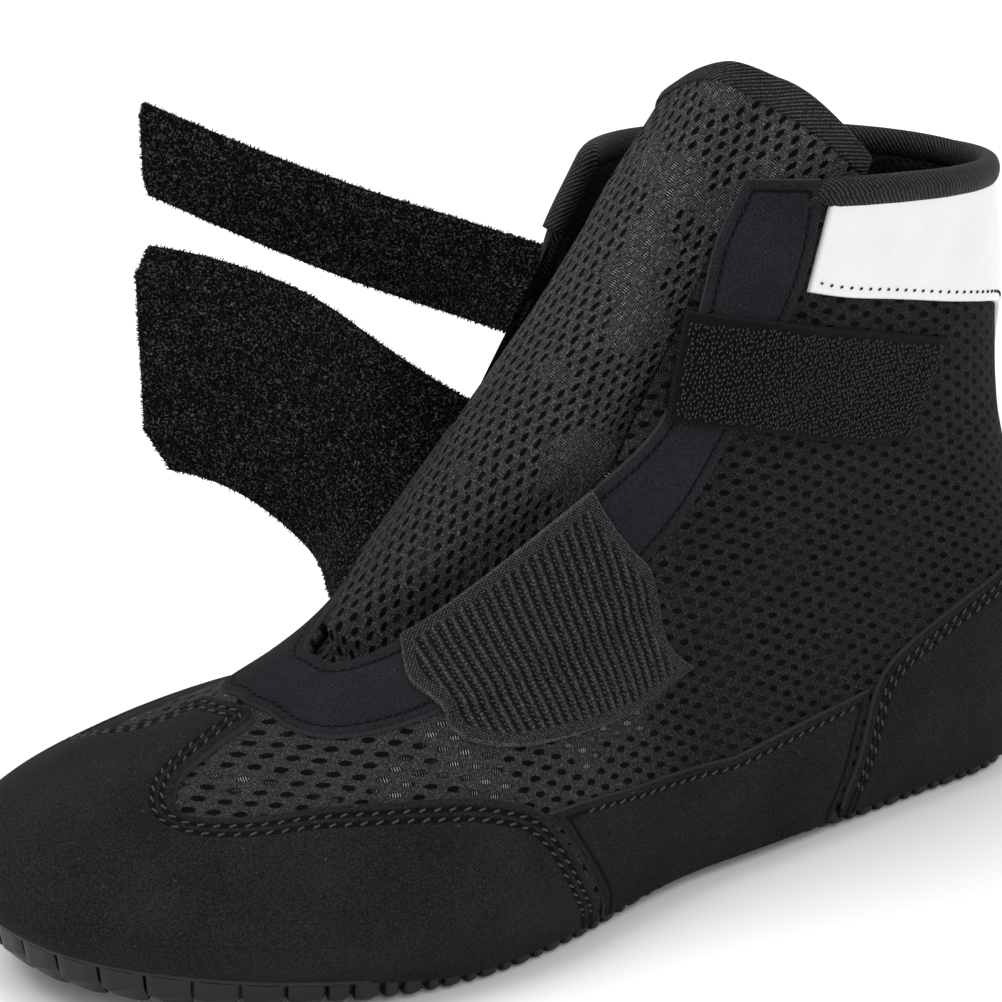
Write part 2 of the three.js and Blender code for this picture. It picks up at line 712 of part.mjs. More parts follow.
// The roll sits on the edge of the upper, from behind the lateral facing round the heel and down the
// medial throat edge.
function collarRoll() {
  const halfHeight = collarRollHeight / 2 - seatGap / 2;
  const steps = 42;
  const rollOut = 0.9;
  const startTurn = facingEdge[facingEdge.length - 1][0] - rollStartBehind;
  const startShare = throatShare + ((throatTop - startTurn) / (2 * throatTop)) * (1 - 2 * throatShare);
  const endShare = 1 - throatShare * rollEndShare;
  const frames = [];
  for (let i = 0; i <= steps; i++) {
    const share = lerp(startShare, endShare, i / steps);
    const [turn, ring] = topLine(share);
    const [nextTurn, nextRing] = topLine(Math.min(share + 0.004, 1));
    const [pastTurn, pastRing] = topLine(share - 0.004);
    const out = lastNormal(turn, ring);
    const tangent = lastPoint(nextTurn, nextRing).sub(lastPoint(pastTurn, pastRing)).normalize();
    const up = tangent.clone().cross(out).normalize();
    if (up.z < -0.2) up.negate();
    const at = skin(turn, ring, rollOut - upperWall / 2).addScaledVector(up, halfHeight + 2 * curvedGap);
    frames.push({ at, out, up });
  }
  return sweptRoll(frames, collarRollThickness / 2, halfHeight, 8);
}

// Tongue

const tongueBaseRing = 4.6;
const tonguePeakRing = 8.83;
const tongueShoulderDrop = 0.72;
const tongueCentre = [1.0, 1.0, 0.985, 0.955, 0.92, 0.885, 0.84];
const tongueHalfWidth = [0.14, 0.3, 0.38, 0.385, 0.37, 0.34, 0.3];

// How far a place is inside the throat, in turns.
function insideThroat(turn, ring) {
  if (ring < throatBase) return -1;
  const edge = ringAtTurn(throatEdge.map(([edgeTurn, edgeRing]) => [edgeRing, edgeTurn]), ring);
  return 1 - edge - Math.abs(turn - 1);
}

// A place of the tongue: across from -1 at its medial edge to 1 at its lateral edge, along from 0 at
// its base to 1 at its top edge.
function tonguePlace(across, along) {
  const peak = tonguePeakRing - tongueShoulderDrop * Math.abs(across) ** 2.1;
  const ring = lerp(tongueBaseRing, peak, along);
  const at = ((ring - tongueBaseRing) / (tonguePeakRing - tongueBaseRing)) * (tongueCentre.length - 1);
  const turn = catmull(tongueCentre, at) - across * catmull(tongueHalfWidth, at);
  return [turn, ring];
}

// The tongue is tucked under the throat's edge and the collar's roll, swells through the throat and
// leans to the lateral side.
function tongueHeight(turn, ring) {
  const underWall = -(upperWall + 2 * curvedGap);
  const rollDrop = 0.5 * (collarRollThickness - upperWall) - curvedGap;
  const nearRoll = Math.max(smoothstep(ring, 7.2, 7.6), smoothstep(turn, 1, 1.1) * smoothstep(ring, 5.9, 6.2));
  const overCollar = smoothstep(ring, collarRing - 0.25, collarRing + 0.5);
  const inside = insideThroat(turn, Math.min(ring, collarRing)) - (turn > 1 && ring > 6 ? 0.07 : 0);
  const rise = smoothstep(inside, 0.02, 0.12);
  const low = underWall - rollDrop * nearRoll;
  const lean = tongueLean * smoothstep(turn, 0.82, 1.14) * smoothstep(ring, throatBase + 0.1, throatBase + 1.2);
  return Math.min(lerp(low, tongueBulge, rise) - 1.5 * overCollar * rise, tongueBulge) - lean;
}

function tongueDepth(across) {
  return lerp(tongueThickness, 0.45 * tongueThickness, smoothstep(Math.abs(across), 0.5, 1));
}

// A length of the tongue between two shares of its height, with its faces moved out by a proud height.
function tonguePart(from, to, columns, proud) {
  const rows = 17;
  const side = (depthAt) =>
    grid(rows, columns, (u, v) => {
      const across = 2 * u - 1;
      const [turn, ring] = tonguePlace(across, lerp(from, to, v));
      return skin(turn, Math.min(ring, topRing), tongueHeight(turn, ring) - depthAt(across));
    });
  return solidBetween(side(() => -proud), side((across) => tongueDepth(across) + proud), false);
}

const tongueLength = 125;
const bindingStart = 1 - tongueBindingWidth / tongueLength;

function tongue() {
  return tonguePart(0, bindingStart - (2.5 * seatGap) / tongueLength, 12, 0);
}

function tongueBinding() {
  return tonguePart(bindingStart, 1, 2, 0.4);
}

// Straps

// The free ends of the straps are held upright.
const strapEndUp = new THREE.Vector3(0.08, 0.11, 0.99).normalize();

// A strap as lines along it, one for each share of its width: sewn on the last, then free.
function strap({ root, sewn, width, reach, heading, rise, bow, droop }) {
  const [rootTurn, rootRing] = root;
  const lift = 2 * curvedGap + suedeThickness + seatGap;
  const angle = degToRad(heading);
  const away = new THREE.Vector3(Math.cos(angle), -Math.sin(angle), 0);
  const sideways = new THREE.Vector3(Math.sin(angle), Math.cos(angle), 0);
  const run = away.clone().multiplyScalar(reach).add(new THREE.Vector3(0, 0, rise));
  const acrossFree = run.clone().cross(sideways).normalize();
  const start = skin(rootTurn, rootRing, lift);
  const line = (share) => {
    const offset = (share - 0.5) * width;
    const ring = ringBelow(rootTurn, rootRing, -offset);
    const onLast = [1, 0.75, 0.5, 0.25, 0].map((back) => skin(rootTurn + sewn * back, ring, lift));
    const free = [0.25, 0.5, 0.75, 1].map((part) => {
      const sag = Math.sin(Math.PI * part);
      const across = acrossFree.clone().lerp(strapEndUp, smoothstep(part, 0, 1)).normalize();
      const at = start.clone().addScaledVector(run, part).addScaledVector(across, offset);
      return at.addScaledVector(sideways, -bow * sag).add(new THREE.Vector3(0, 0, -droop * sag));
    });
    return new THREE.CatmullRomCurve3([...onLast, ...free]);
  };
  const rows = 20;
  const columns = 2;
  const lines = Array.from({ length: columns + 1 }, (_, j) => line(j / columns));
  const face = grid(rows, columns, (u, v) => lines[Math.round(v * columns)].getPoint(u));
  const back = face.map((row, i) => {
    const along = face[Math.min(i + 1, rows)][1].clone().sub(face[Math.max(i - 1, 0)][1]);
    const out = along.cross(row[columns].clone().sub(row[0])).normalize();
    return row.map((p) => p.clone().addScaledVector(out, strapThickness));
  });
  return solidBetween(back, face, false);
}

// Assembly

const shoe = new THREE.Group();
const last = new THREE.Group();
last.position.x = -heelRest * soleLength;
shoe.add(last);

function place(name, geometry, look) {
  const piece = new THREE.Mesh(geometry, new THREE.MeshStandardMaterial(look));
  piece.name = name;
  last.add(piece);
}

const upper = toManifold(upperForm(0));
const besideUpper = toManifold(upperForm(seatGap));
const besideFacing = toManifold(throatFacing(seatGap));
const onUpper = (geometry) => clearOf(geometry, [besideUpper]);
const onFacingToo = (geometry) => clearOf(geometry, [besideUpper, besideFacing]);

place("outsole", outsole(), rubber);
place("insole", insole(), foam);
place("upper", fromManifold(upper), meshCloth);
place("toe_cap", onUpper(toeCap()), suede);
place("midfoot_rand_lateral", onUpper(midfootRand(false)), suede);
place("midfoot_rand_medial", onUpper(midfootRand(true)), suede);
place("heel_counter", onUpper(heelCounter()), suede);
place("throat_facing", onUpper(throatFacing()), suede);
place("collar_band", onUpper(collarBand()), whiteSynthetic);
place("collar_roll", onFacingToo(collarRoll()), twill);
const patchLower = hookPatch(lowerPatch.front, lowerPatch.back, faces.hookPatchLower);
const patchUpper = hookPatch(upperPatch.bottom, upperPatch.top, faces.hookPatchUpper);
place("hook_patch_lower", onFacingToo(patchLower), hookTape);
place("hook_patch_upper", onFacingToo(patchUpper), hookTape);
place("tongue", onUpper(tongue()), meshCloth);
place("tongue_binding", tongueBinding(), twill);
Object.entries(straps).forEach(([name, sizes]) => place(name, onFacingToo(strap(sizes)), loopTape));

export default shoe;
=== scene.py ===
import math

import bpy
import numpy as np
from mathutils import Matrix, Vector


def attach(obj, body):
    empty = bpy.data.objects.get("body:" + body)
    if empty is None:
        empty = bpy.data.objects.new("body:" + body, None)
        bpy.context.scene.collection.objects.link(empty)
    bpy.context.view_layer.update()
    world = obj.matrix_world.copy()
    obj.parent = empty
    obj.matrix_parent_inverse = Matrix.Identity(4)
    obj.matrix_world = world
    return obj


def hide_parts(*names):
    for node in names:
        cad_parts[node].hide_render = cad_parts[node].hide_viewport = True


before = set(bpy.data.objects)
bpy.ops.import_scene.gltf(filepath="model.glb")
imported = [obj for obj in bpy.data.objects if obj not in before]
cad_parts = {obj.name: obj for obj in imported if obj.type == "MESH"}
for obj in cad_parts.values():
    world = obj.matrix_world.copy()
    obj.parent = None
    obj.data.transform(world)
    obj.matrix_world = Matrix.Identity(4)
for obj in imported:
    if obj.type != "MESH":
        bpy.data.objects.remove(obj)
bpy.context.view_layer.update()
randomDraws = np.random.default_rng(7)
print("frame loaded")

# The last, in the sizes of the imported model. Lengths are millimetres up to toFrame().
last = {
    "soleLength": 272,
    "ballWidth": 100,
    "heelWidth": 69,
    "shaftHeight": 146,
    "toeSpring": 9,
    "toeWrap": 3.5,
    "collarLift": 2.8,
    "liftStartRing": 6,
    "soleThickness": 5,
    "archLift": 1.6,
    "heelRest": 0.13,
    "upperWall": 2.2,
    "collarRing": 8,
}
mm = 0.001

ringColumns = (
    "backX", "backZ", "frontX", "frontZ", "heel", "waistLateral", "waistMedial",
    "ballLateral", "ballMedial", "heelRound", "noseRound", "nosePower", "inset",
)
ringRows = (
    (0.018, 0.0, 0.982, 0.0, 0.464, 0.35, 0.285, 0.47, 0.46, 0.12, 0.32, 2.35, 0.08),
    (0.004, 0.1, 0.996, 0.085, 0.5, 0.382, 0.32, 0.5, 0.48, 0.13, 0.3, 2.35, 0.08),
    (0.004, 0.225, 0.965, 0.17, 0.493, 0.37, 0.33, 0.47, 0.435, 0.13, 0.32, 2.2, 0.085),
    (0.016, 0.35, 0.912, 0.222, 0.478, 0.355, 0.325, 0.44, 0.385, 0.13, 0.36, 2.1, 0.095),
    (0.034, 0.47, 0.835, 0.268, 0.464, 0.345, 0.32, 0.41, 0.3, 0.13, 0.38, 2.0, 0.095),
    (0.048, 0.582, 0.697, 0.39, 0.45, 0.335, 0.32, 0.375, 0.345, 0.13, 0.36, 2.0, 0.05),
    (0.055, 0.695, 0.592, 0.64, 0.456, 0.34, 0.33, 0.36, 0.36, 0.13, 0.3, 2.0, 0.01),
    (0.06, 0.815, 0.503, 0.812, 0.478, 0.36, 0.36, 0.36, 0.36, 0.14, 0.24, 2.0, 0.0),
    (0.07, 0.945, 0.421, 1.0, 0.493, 0.38, 0.38, 0.38, 0.38, 0.16, 0.18, 2.0, 0.0),
    (0.08, 1.05, 0.348, 1.18, 0.5, 0.39, 0.39, 0.39, 0.39, 0.16, 0.18, 2.0, 0.0),
)
ringColumn = {name: [row[i] for row in ringRows] for i, name in enumerate(ringColumns)}
topRing = len(ringRows) - 1

# Stations along the last, as shares of its length.
stations = {
    "heelEnd": 0.13, "waistAt": 0.42, "ballAt": 0.7, "springStart": 0.66,
    "wrapStart": 0.7, "wrapEnd": 0.98, "toeTurnStart": 0.55,
}

# Edges of the overlays as (turn, ring): turn is 0 at the heel's back, 1 at the toe and 2 back at the heel.
throatEdge = (
    (1.0, 4.87), (0.943, 4.87), (0.89, 5.02), (0.844, 5.23), (0.803, 5.39), (0.765, 5.58), (0.73, 5.77),
    (0.701, 5.98), (0.694, 6.25), (0.715, 6.77), (0.739, 7.17), (0.763, 7.56), (0.769, 8.0),
)
facingEdge = (
    (1.0, 4.46), (0.942, 4.44), (0.856, 4.26), (0.813, 4.19), (0.778, 4.21), (0.746, 4.31), (0.7, 4.62),
    (0.655, 4.92), (0.629, 5.19), (0.608, 5.46), (0.597, 5.8), (0.594, 6.2), (0.598, 6.7), (0.606, 7.25),
    (0.625, 7.67), (0.65, 8.0),
)
capEdge = (
    (0.544, 0.14), (0.55, 0.5), (0.557, 0.85), (0.568, 1.25), (0.583, 1.7), (0.606, 2.21), (0.633, 2.56),
    (0.665, 2.8), (0.717, 2.95), (0.76, 2.97), (0.8, 2.86), (0.839, 2.83), (0.869, 2.98), (0.89, 3.3),
    (0.91, 3.68), (0.926, 4.05), (0.945, 4.36), (1.0, 4.43),
)
randEdge = ((0.345, 1.86), (0.37, 1.82), (0.403, 1.76), (0.458, 1.62), (0.531, 1.8), (0.57, 1.98), (0.6, 2.05))
counterEdge = (
    (0.0, 2.98), (0.11, 2.95), (0.214, 2.8), (0.275, 2.55), (0.324, 2.22), (0.343, 1.85), (0.351, 1.2),
    (0.356, 0.14),
)
bandEdge = (
    (0.062, 2.85), (0.072, 4.0), (0.084, 4.9), (0.106, 5.6), (0.144, 6.08), (0.2, 6.34), (0.28, 6.53),
    (0.36, 6.69), (0.45, 6.86), (0.53, 6.99), (0.592, 7.1),
)
bandTopRing = 7.84


def smooth(value, low, high):
    part = np.clip((np.asarray(value, float) - low) / (high - low), 0, 1)
    return part * part * (3 - 2 * part)


def mixed(a, b, part):
    return a + (b - a) * part


def catmull(values, at):
    values = np.asarray(values, float)
    lastIndex = len(values) - 1
    at = np.clip(np.asarray(at, float), 0, lastIndex - 1e-9)
    i = at.astype(int)
    f = at - i
    p1, p2 = values[i], values[i + 1]
    p0 = np.where(i > 0, values[np.maximum(i - 1, 0)], 2 * p1 - p2)
    p3 = np.where(i < lastIndex - 1, values[np.minimum(i + 2, lastIndex)], 2 * p2 - p1)
    return p1 + 0.5 * f * (p2 - p0 + f * (2 * p0 - 5 * p1 + 4 * p2 - p3 + f * (3 * (p1 - p2) + p3 - p0)))


def unit(vectors):
    return vectors / np.maximum(np.linalg.norm(vectors, axis=-1, keepdims=True), 1e-12)


def toeRise(share):
    start = stations["springStart"]
    return last["toeSpring"] * np.clip((share - start) / (1 - start), 0, 1.1) ** 2


def rubberWrap(share):
    return last["toeWrap"] * smooth(share, stations["wrapStart"], stations["wrapEnd"])


# A point on the outside of the last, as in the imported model.
def lastPoint(turn, ring):
    turn, ring = np.broadcast_arrays(np.asarray(turn, float), np.asarray(ring, float))
    at = {name: catmull(values, ring) for name, values in ringColumn.items()}
    lateral = np.sin(np.pi * turn) >= 0
    along = (1 - np.cos(np.pi * turn)) / 2
    share = mixed(at["backX"], at["frontX"], along)
    rise = last["shaftHeight"] * mixed(at["backZ"], at["frontZ"], along)
    wrap = rubberWrap(share) * np.clip(1 - ring, 0, 1)
    waist = last["ballWidth"] * np.where(lateral, at["waistLateral"], at["waistMedial"])
    ball = last["ballWidth"] * np.where(lateral, at["ballLateral"], at["ballMedial"])
    behind = mixed(last["heelWidth"] * at["heel"], waist, smooth(share, stations["heelEnd"], stations["waistAt"]))
    halfWidth = mixed(behind, ball, smooth(share, stations["waistAt"], stations["ballAt"]))
    intoHeel = np.clip(1 - (share - at["backX"]) / at["heelRound"], 0, 1)
    intoNose = np.clip(1 - (at["frontX"] - share) / at["noseRound"], 0, 1)
    power = at["nosePower"]
    roundness = np.sqrt(1 - intoHeel**2) * (1 - intoNose**power) ** (1 / power)
    toeShift = last["ballWidth"] * at["inset"] * smooth(share, stations["toeTurnStart"], 1)
    y = np.where(lateral, 1, -1) * halfWidth * roundness - toeShift
    lift = last["collarLift"] * np.maximum(np.sin(np.pi * turn), 0)
    lift = lift * smooth(ring, last["liftStartRing"], last["collarRing"])
    z = last["soleThickness"] + rise + toeRise(share) + wrap + lift
    return np.stack([share * last["soleLength"], y, z], -1)


def lastNormal(turn, ring):
    stepTurn, stepRing = 0.004, 0.02
    roundWay = lastPoint(turn + stepTurn, ring) - lastPoint(turn - stepTurn, ring)
    upWay = lastPoint(turn, np.minimum(ring + stepRing, topRing)) - lastPoint(turn, np.maximum(ring - stepRing, 0))
    return unit(np.cross(upWay, roundWay))


# Places of the last in millimetres of cloth: along a ring from the toe, and up the last.
clothTurns = np.linspace(-1, 3, 801)
clothRings = np.linspace(0, topRing, 181)
clothGrid = lastPoint(clothTurns[:, None], clothRings[None, :])
alongSteps = np.linalg.norm(np.diff(clothGrid, axis=0), axis=-1)
upSteps = np.linalg.norm(np.diff(clothGrid, axis=1), axis=-1)
clothAlong = np.concatenate([np.zeros((1, len(clothRings))), np.cumsum(alongSteps, 0)])
clothAlong -= clothAlong[400]
clothUp = np.concatenate([np.zeros((len(clothTurns), 1)), np.cumsum(upSteps, 1)], axis=1)


def clothPlace(turn, ring):
    a = np.clip((turn + 1) / 4 * 800, 0, 799.999)
    b = np.clip(ring / topRing * 180, 0, 179.999)
    i, j = a.astype(int), b.astype(int)
    fa, fb = a - i, b - j

    def read(table):
        low = mixed(table[i, j], table[i + 1, j], fa)
        high = mixed(table[i, j + 1], table[i + 1, j + 1], fa)
        return mixed(low, high, fb)

    return np.stack([read(clothAlong), read(clothUp)], -1)


# The mesh is cut from flat sheets, so its rows run level along each side of the last.
def meshPlace(turn, ring):
    point = lastPoint(turn, ring)
    guide = lastPoint(np.linspace(0, 0.5, 200), 5.0)
    lengths = np.concatenate([[0], np.cumsum(np.linalg.norm(np.diff(guide[:, :2], axis=0), axis=-1))])
    x = point[..., 0]
    beyond = np.minimum(x - guide[0, 0], 0) + np.maximum(x - guide[-1, 0], 0)
    return np.stack([np.interp(x, guide[:, 0], lengths) + beyond, point[..., 2] - 0.5 * np.abs(point[..., 1])], -1)


# Creases and soft swellings of the upper: from and to are (turn, ring), width and depth millimetres.
creases = (
    {"start": (0.60, 5.1), "end": (0.44, 4.1), "width": 5, "depth": 0.9},
    {"start": (0.56, 5.5), "end": (0.38, 4.9), "width": 6, "depth": -0.7},
    {"start": (0.57, 5.9), "end": (0.36, 5.3), "width": 5, "depth": 0.8},
    {"start": (0.60, 4.5), "end": (0.47, 3.3), "width": 6, "depth": 0.7},
    {"start": (0.30, 5.6), "end": (0.24, 4.0), "width": 7, "depth": 0.7},
    {"start": (0.18, 4.6), "end": (0.16, 3.4), "width": 8, "depth": 0.6},
    {"start": (1.42, 5.0), "end": (1.60, 4.2), "width": 6, "depth": 0.9},
    {"start": (1.45, 5.8), "end": (1.64, 5.2), "width": 6, "depth": 0.8},
    {"start": (1.74, 5.2), "end": (1.80, 3.6), "width": 8, "depth": 0.7},
    {"start": (0.80, 3.8), "end": (0.90, 2.2), "width": 8, "depth": 0.5},
    {"start": (0.70, 3.6), "end": (0.72, 2.4), "width": 7, "depth": 0.5},
    {"start": (1.20, 3.8), "end": (1.14, 2.2), "width": 8, "depth": 0.5},
)


def creaseHeight(turn, ring):
    turn, ring = np.broadcast_arrays(np.asarray(turn, float), np.asarray(ring, float))
    place = clothPlace(turn, ring)
    height = np.zeros(turn.shape)
    for crease in creases:
        start = clothPlace(np.array(crease["start"][0]), np.array(crease["start"][1]))
        end = clothPlace(np.array(crease["end"][0]), np.array(crease["end"][1]))
        way = end - start
        part = np.clip(((place - start) @ way) / (way @ way), 0, 1)
        distance = np.linalg.norm(place - start - part[..., None] * way, axis=-1)
        fade = np.sin(np.pi * np.clip(part * 0.9 + 0.05, 0, 1)) ** 0.5
        height -= crease["depth"] * fade * np.exp(-((distance / crease["width"]) ** 2))
    return height


# A point at a height over the last, negative inside it.
def skin(turn, ring, height):
    raised = np.asarray(height, float) + creaseHeight(turn, ring)
    return lastPoint(turn, ring) + lastNormal(turn, ring) * raised[..., None]


def ringBelow(turn, ring, length):
    perRing = np.linalg.norm(lastPoint(turn, ring) - lastPoint(turn, ring - 0.5), axis=-1) / 0.5
    return ring - length / perRing


def edgePath(points):
    turns = [p[0] for p in points]
    rings = [p[1] for p in points]

    def path(share):
        at = np.asarray(share, float) * (len(points) - 1)
        return catmull(turns, at), catmull(rings, at)

    return path


def mirrored(points):
    return tuple((2 - turn, ring) for turn, ring in reversed(points))


def ringAtTurn(points, turn):
    ordered = sorted(points)
    return np.interp(turn, [p[0] for p in ordered], [p[1] for p in ordered])


def turnAtRing(points, ring):
    ordered = sorted((r, t) for t, r in points)
    return np.interp(ring, [p[0] for p in ordered], [p[1] for p in ordered])


# Shares from 0 to 1 that lie closer together at both ends.
def crowded(count, crowd=0.85):
    share = np.linspace(0, 1, count)
    return share - crowd * np.sin(2 * np.pi * share) / (2 * np.pi)


def toFrame(points):
    moved = np.array(points, float)
    moved[..., 0] -= last["heelRest"] * last["soleLength"]
    return moved * mm


def addPiece(name, points, faces, finishes, replaces=(), cloth=None, edge=None, faceFinish=None, sharp=False):
    mesh = bpy.data.meshes.new(name)
    mesh.from_pydata(toFrame(points).tolist(), [], faces.tolist() if hasattr(faces, "tolist") else faces)
    if cloth is not None:
        layer = mesh.uv_layers.new(name="cloth")
        layer.data.foreach_set("uv", np.asarray(cloth, np.float32).ravel())
    if edge is not None:
        mesh.attributes.new("edge", "FLOAT", "POINT").data.foreach_set("value", np.asarray(edge, np.float32).ravel())
    mesh.polygons.foreach_set("use_smooth", np.full(len(mesh.polygons), not sharp))
    for finish in finishes:
        mesh.materials.append(finish)
    if faceFinish is not None:
        mesh.polygons.foreach_set("material_index", np.asarray(faceFinish, np.int32))
    mesh.validate()
    mesh.update()
    piece = bpy.data.objects.new(name, mesh)
    bpy.context.scene.collection.objects.link(piece)
    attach(piece, "root")
    if replaces:
        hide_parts(*replaces)
    return piece


def facesOut(points, faces):
    a, b, c, d = (points[faces[:, i]] for i in range(4))
    volume = np.sum(a * np.cross(b, c)) + np.sum(a * np.cross(c, d))
    return faces if volume > 0 else faces[:, ::-1]


# A closed sheet between an outer and an inner grid of points. closed joins its last row to its first.
def shell(name, outer, inner, clothGrid, finishes, replaces=(), edge=None, closed=False):
    rows, columns = outer.shape[:2]
    kept = rows - 1 if closed else rows
    i, j = (a.ravel() for a in np.meshgrid(np.arange(rows - 1), np.arange(columns - 1), indexing="ij"))
    row, column = np.arange(rows - 1), np.arange(columns - 1)
    end = columns - 1

    def quad(*corners):
        return np.stack([np.stack(np.broadcast_arrays(*corner), -1) for corner in corners], 1)

    parts = [
        quad((0, i, j), (0, i + 1, j), (0, i + 1, j + 1), (0, i, j + 1)),
        quad((1, i, j), (1, i, j + 1), (1, i + 1, j + 1), (1, i + 1, j)),
        quad((0, row, 0), (1, row, 0), (1, row + 1, 0), (0, row + 1, 0)),
        quad((0, row, end), (0, row + 1, end), (1, row + 1, end), (1, row, end)),
    ]
    if not closed:
        far = rows - 1
        parts.append(quad((0, 0, column), (0, 0, column + 1), (1, 0, column + 1), (1, 0, column)))
        parts.append(quad((0, far, column), (1, far, column), (1, far, column + 1), (0, far, column + 1)))
    corners = np.concatenate(parts)
    faces = corners[..., 0] * kept * columns + (corners[..., 1] % kept) * columns + corners[..., 2]
    points = np.concatenate([outer[:kept].reshape(-1, 3), inner[:kept].reshape(-1, 3)])
    cloth = clothGrid[corners[..., 1], corners[..., 2]]
    turned = facesOut(points, faces)
    if turned is not faces:
        cloth = cloth[:, ::-1]
    faceFinish = np.zeros(len(faces), int)
    if len(finishes) > 1:
        faceFinish[len(i) : 2 * len(i)] = 1
    edges = None
    if edge is not None:
        edges = np.concatenate([edge[:kept].ravel(), edge[:kept].ravel()])
    return addPiece(name, points, turned, finishes, replaces, cloth, edges, faceFinish)


# Many short tubes as one mesh, from points in the order (tube, ring by ring).
def addTubes(name, points, sides, finish):
    count, perTube = points.shape[:2]
    first = np.arange(count)[:, None] * perTube
    base = (np.arange(perTube // sides - 1)[:, None] * sides + np.arange(sides)).ravel()
    beside = (np.arange(perTube // sides - 1)[:, None] * sides + (np.arange(sides) + 1) % sides).ravel()
    faces = np.stack([first + base, first + beside, first + beside + sides, first + base + sides], -1).reshape(-1, 4)
    ends = np.concatenate([first + np.arange(sides)[::-1], first + perTube - sides + np.arange(sides)])
    return addPiece(name, points.reshape(-1, 3), faces.tolist() + ends.tolist(), [finish])


# The distance of each point of a grid from the nearest of some polylines.
def distanceTo(points, lines):
    flat = points.reshape(-1, 3)
    nearest = np.full(len(flat), 1e9)
    for line in lines:
        a, b = line[:-1], line[1:]
        way = b - a
        long = np.maximum((way * way).sum(-1), 1e-12)
        for at in range(0, len(flat), 4000):
            part = flat[at : at + 4000, None, :] - a
            share = np.clip((part * way).sum(-1) / long, 0, 1)
            gap = np.linalg.norm(part - share[..., None] * way, axis=-1).min(1)
            nearest[at : at + 4000] = np.minimum(nearest[at : at + 4000], gap)
    return nearest.reshape(points.shape[:-1])


# 0 along the middle and heel, 1 at the toe, where the rubber comes up round the upper.
def toeShare(turn, ring):
    return smooth(lastPoint(turn, ring)[..., 0] / last["soleLength"], 0.68, 0.82)


# The mean plane of a patch as columns: along its ribs, across them and out.
def ribAxes(turn, ring, ribs):
    out = unit(lastNormal(turn, ring).reshape(-1, 3).mean(0))
    alongRibs = unit(np.array(ribs) - out * np.dot(ribs, out))
    return np.stack([alongRibs, np.cross(out, alongRibs), out], 1)


# A panel laid on the last. place gives (turn, ring) at shares along and across it; free names the sides
# of its grid that are real edges, where it rounds down to what it lies on.
def panel(name, place, counts, look, finishes, replaces=(), free=("low", "high", "start", "end")):
    along, across = np.meshgrid(crowded(counts[0], look.get("crowdAlong", 0.0)), crowded(counts[1]), indexing="ij")
    turn, ring = place(along, across)
    base = look["base"](turn, ring) if callable(look["base"]) else np.full(turn.shape, look["base"])
    ground = skin(turn, ring, base)
    sides = {"low": ground[:, 0], "high": ground[:, -1], "start": ground[0], "end": ground[-1]}
    edge = distanceTo(ground, [sides[side] for side in free])
    rounding = look["rounding"]
    profile = np.sqrt(np.clip(1 - (1 - np.clip(edge / rounding, 0, 1)) ** 2, 0, 1))
    height = base + look["thickness"] * profile
    for inset in look.get("channels", ()):
        height = height - look.get("channelDepth", 0.3) * np.exp(-(((edge - inset) / 0.55) ** 2))
    for spread, puff in look.get("puffs", ()):
        height = height + puff * smooth(edge, rounding, spread)
    if "foot" in look:
        height = mixed(look["foot"], height, smooth(ring, 0.0, 0.4))
        base = mixed(look["foot"] - 0.6, base, smooth(ring, 0.0, 0.4))
    outer = skin(turn, ring, height)
    cloth = clothPlace(turn, ring)
    if "ribs" in look:
        cloth = outer @ ribAxes(turn, ring, look["ribs"])[:, :2]
    inner = skin(turn, ring, base - 0.15)
    if "foot" in look:
        under = look["wrapUnder"] * (1 - smooth(ring, 0, 0.3)) * (1 - toeShare(turn, ring))
        outer[..., 2] -= under
        inner[..., 2] -= under
    piece = shell(name, outer, inner, cloth, finishes, replaces, edge)
    return {"piece": piece, "turn": turn, "ring": ring, "edge": edge, "height": height}


# The line on a panel that keeps an inset from one side of its grid, as points and normals.
def insetLine(sheet, side, inset):
    turn, ring, edge, height = (sheet[key] for key in ("turn", "ring", "edge", "height"))
    if side in ("start", "end"):
        turn, ring, edge, height = (a.T for a in (turn, ring, edge, height))
    if side in ("high", "end"):
        turn, ring, edge, height = (a[:, ::-1] for a in (turn, ring, edge, height))
    found = []
    for t, r, e, h in zip(turn, ring, edge, height):
        past = np.nonzero(e >= inset)[0]
        if len(past) == 0 or past[0] == 0:
            continue
        k = past[0]
        part = (inset - e[k - 1]) / max(e[k] - e[k - 1], 1e-9)
        found.append([mixed(a[k - 1], a[k], part) for a in (t, r, h)])
    found = np.array(found)
    return skin(found[:, 0], found[:, 1], found[:, 2]), lastNormal(found[:, 0], found[:, 1])


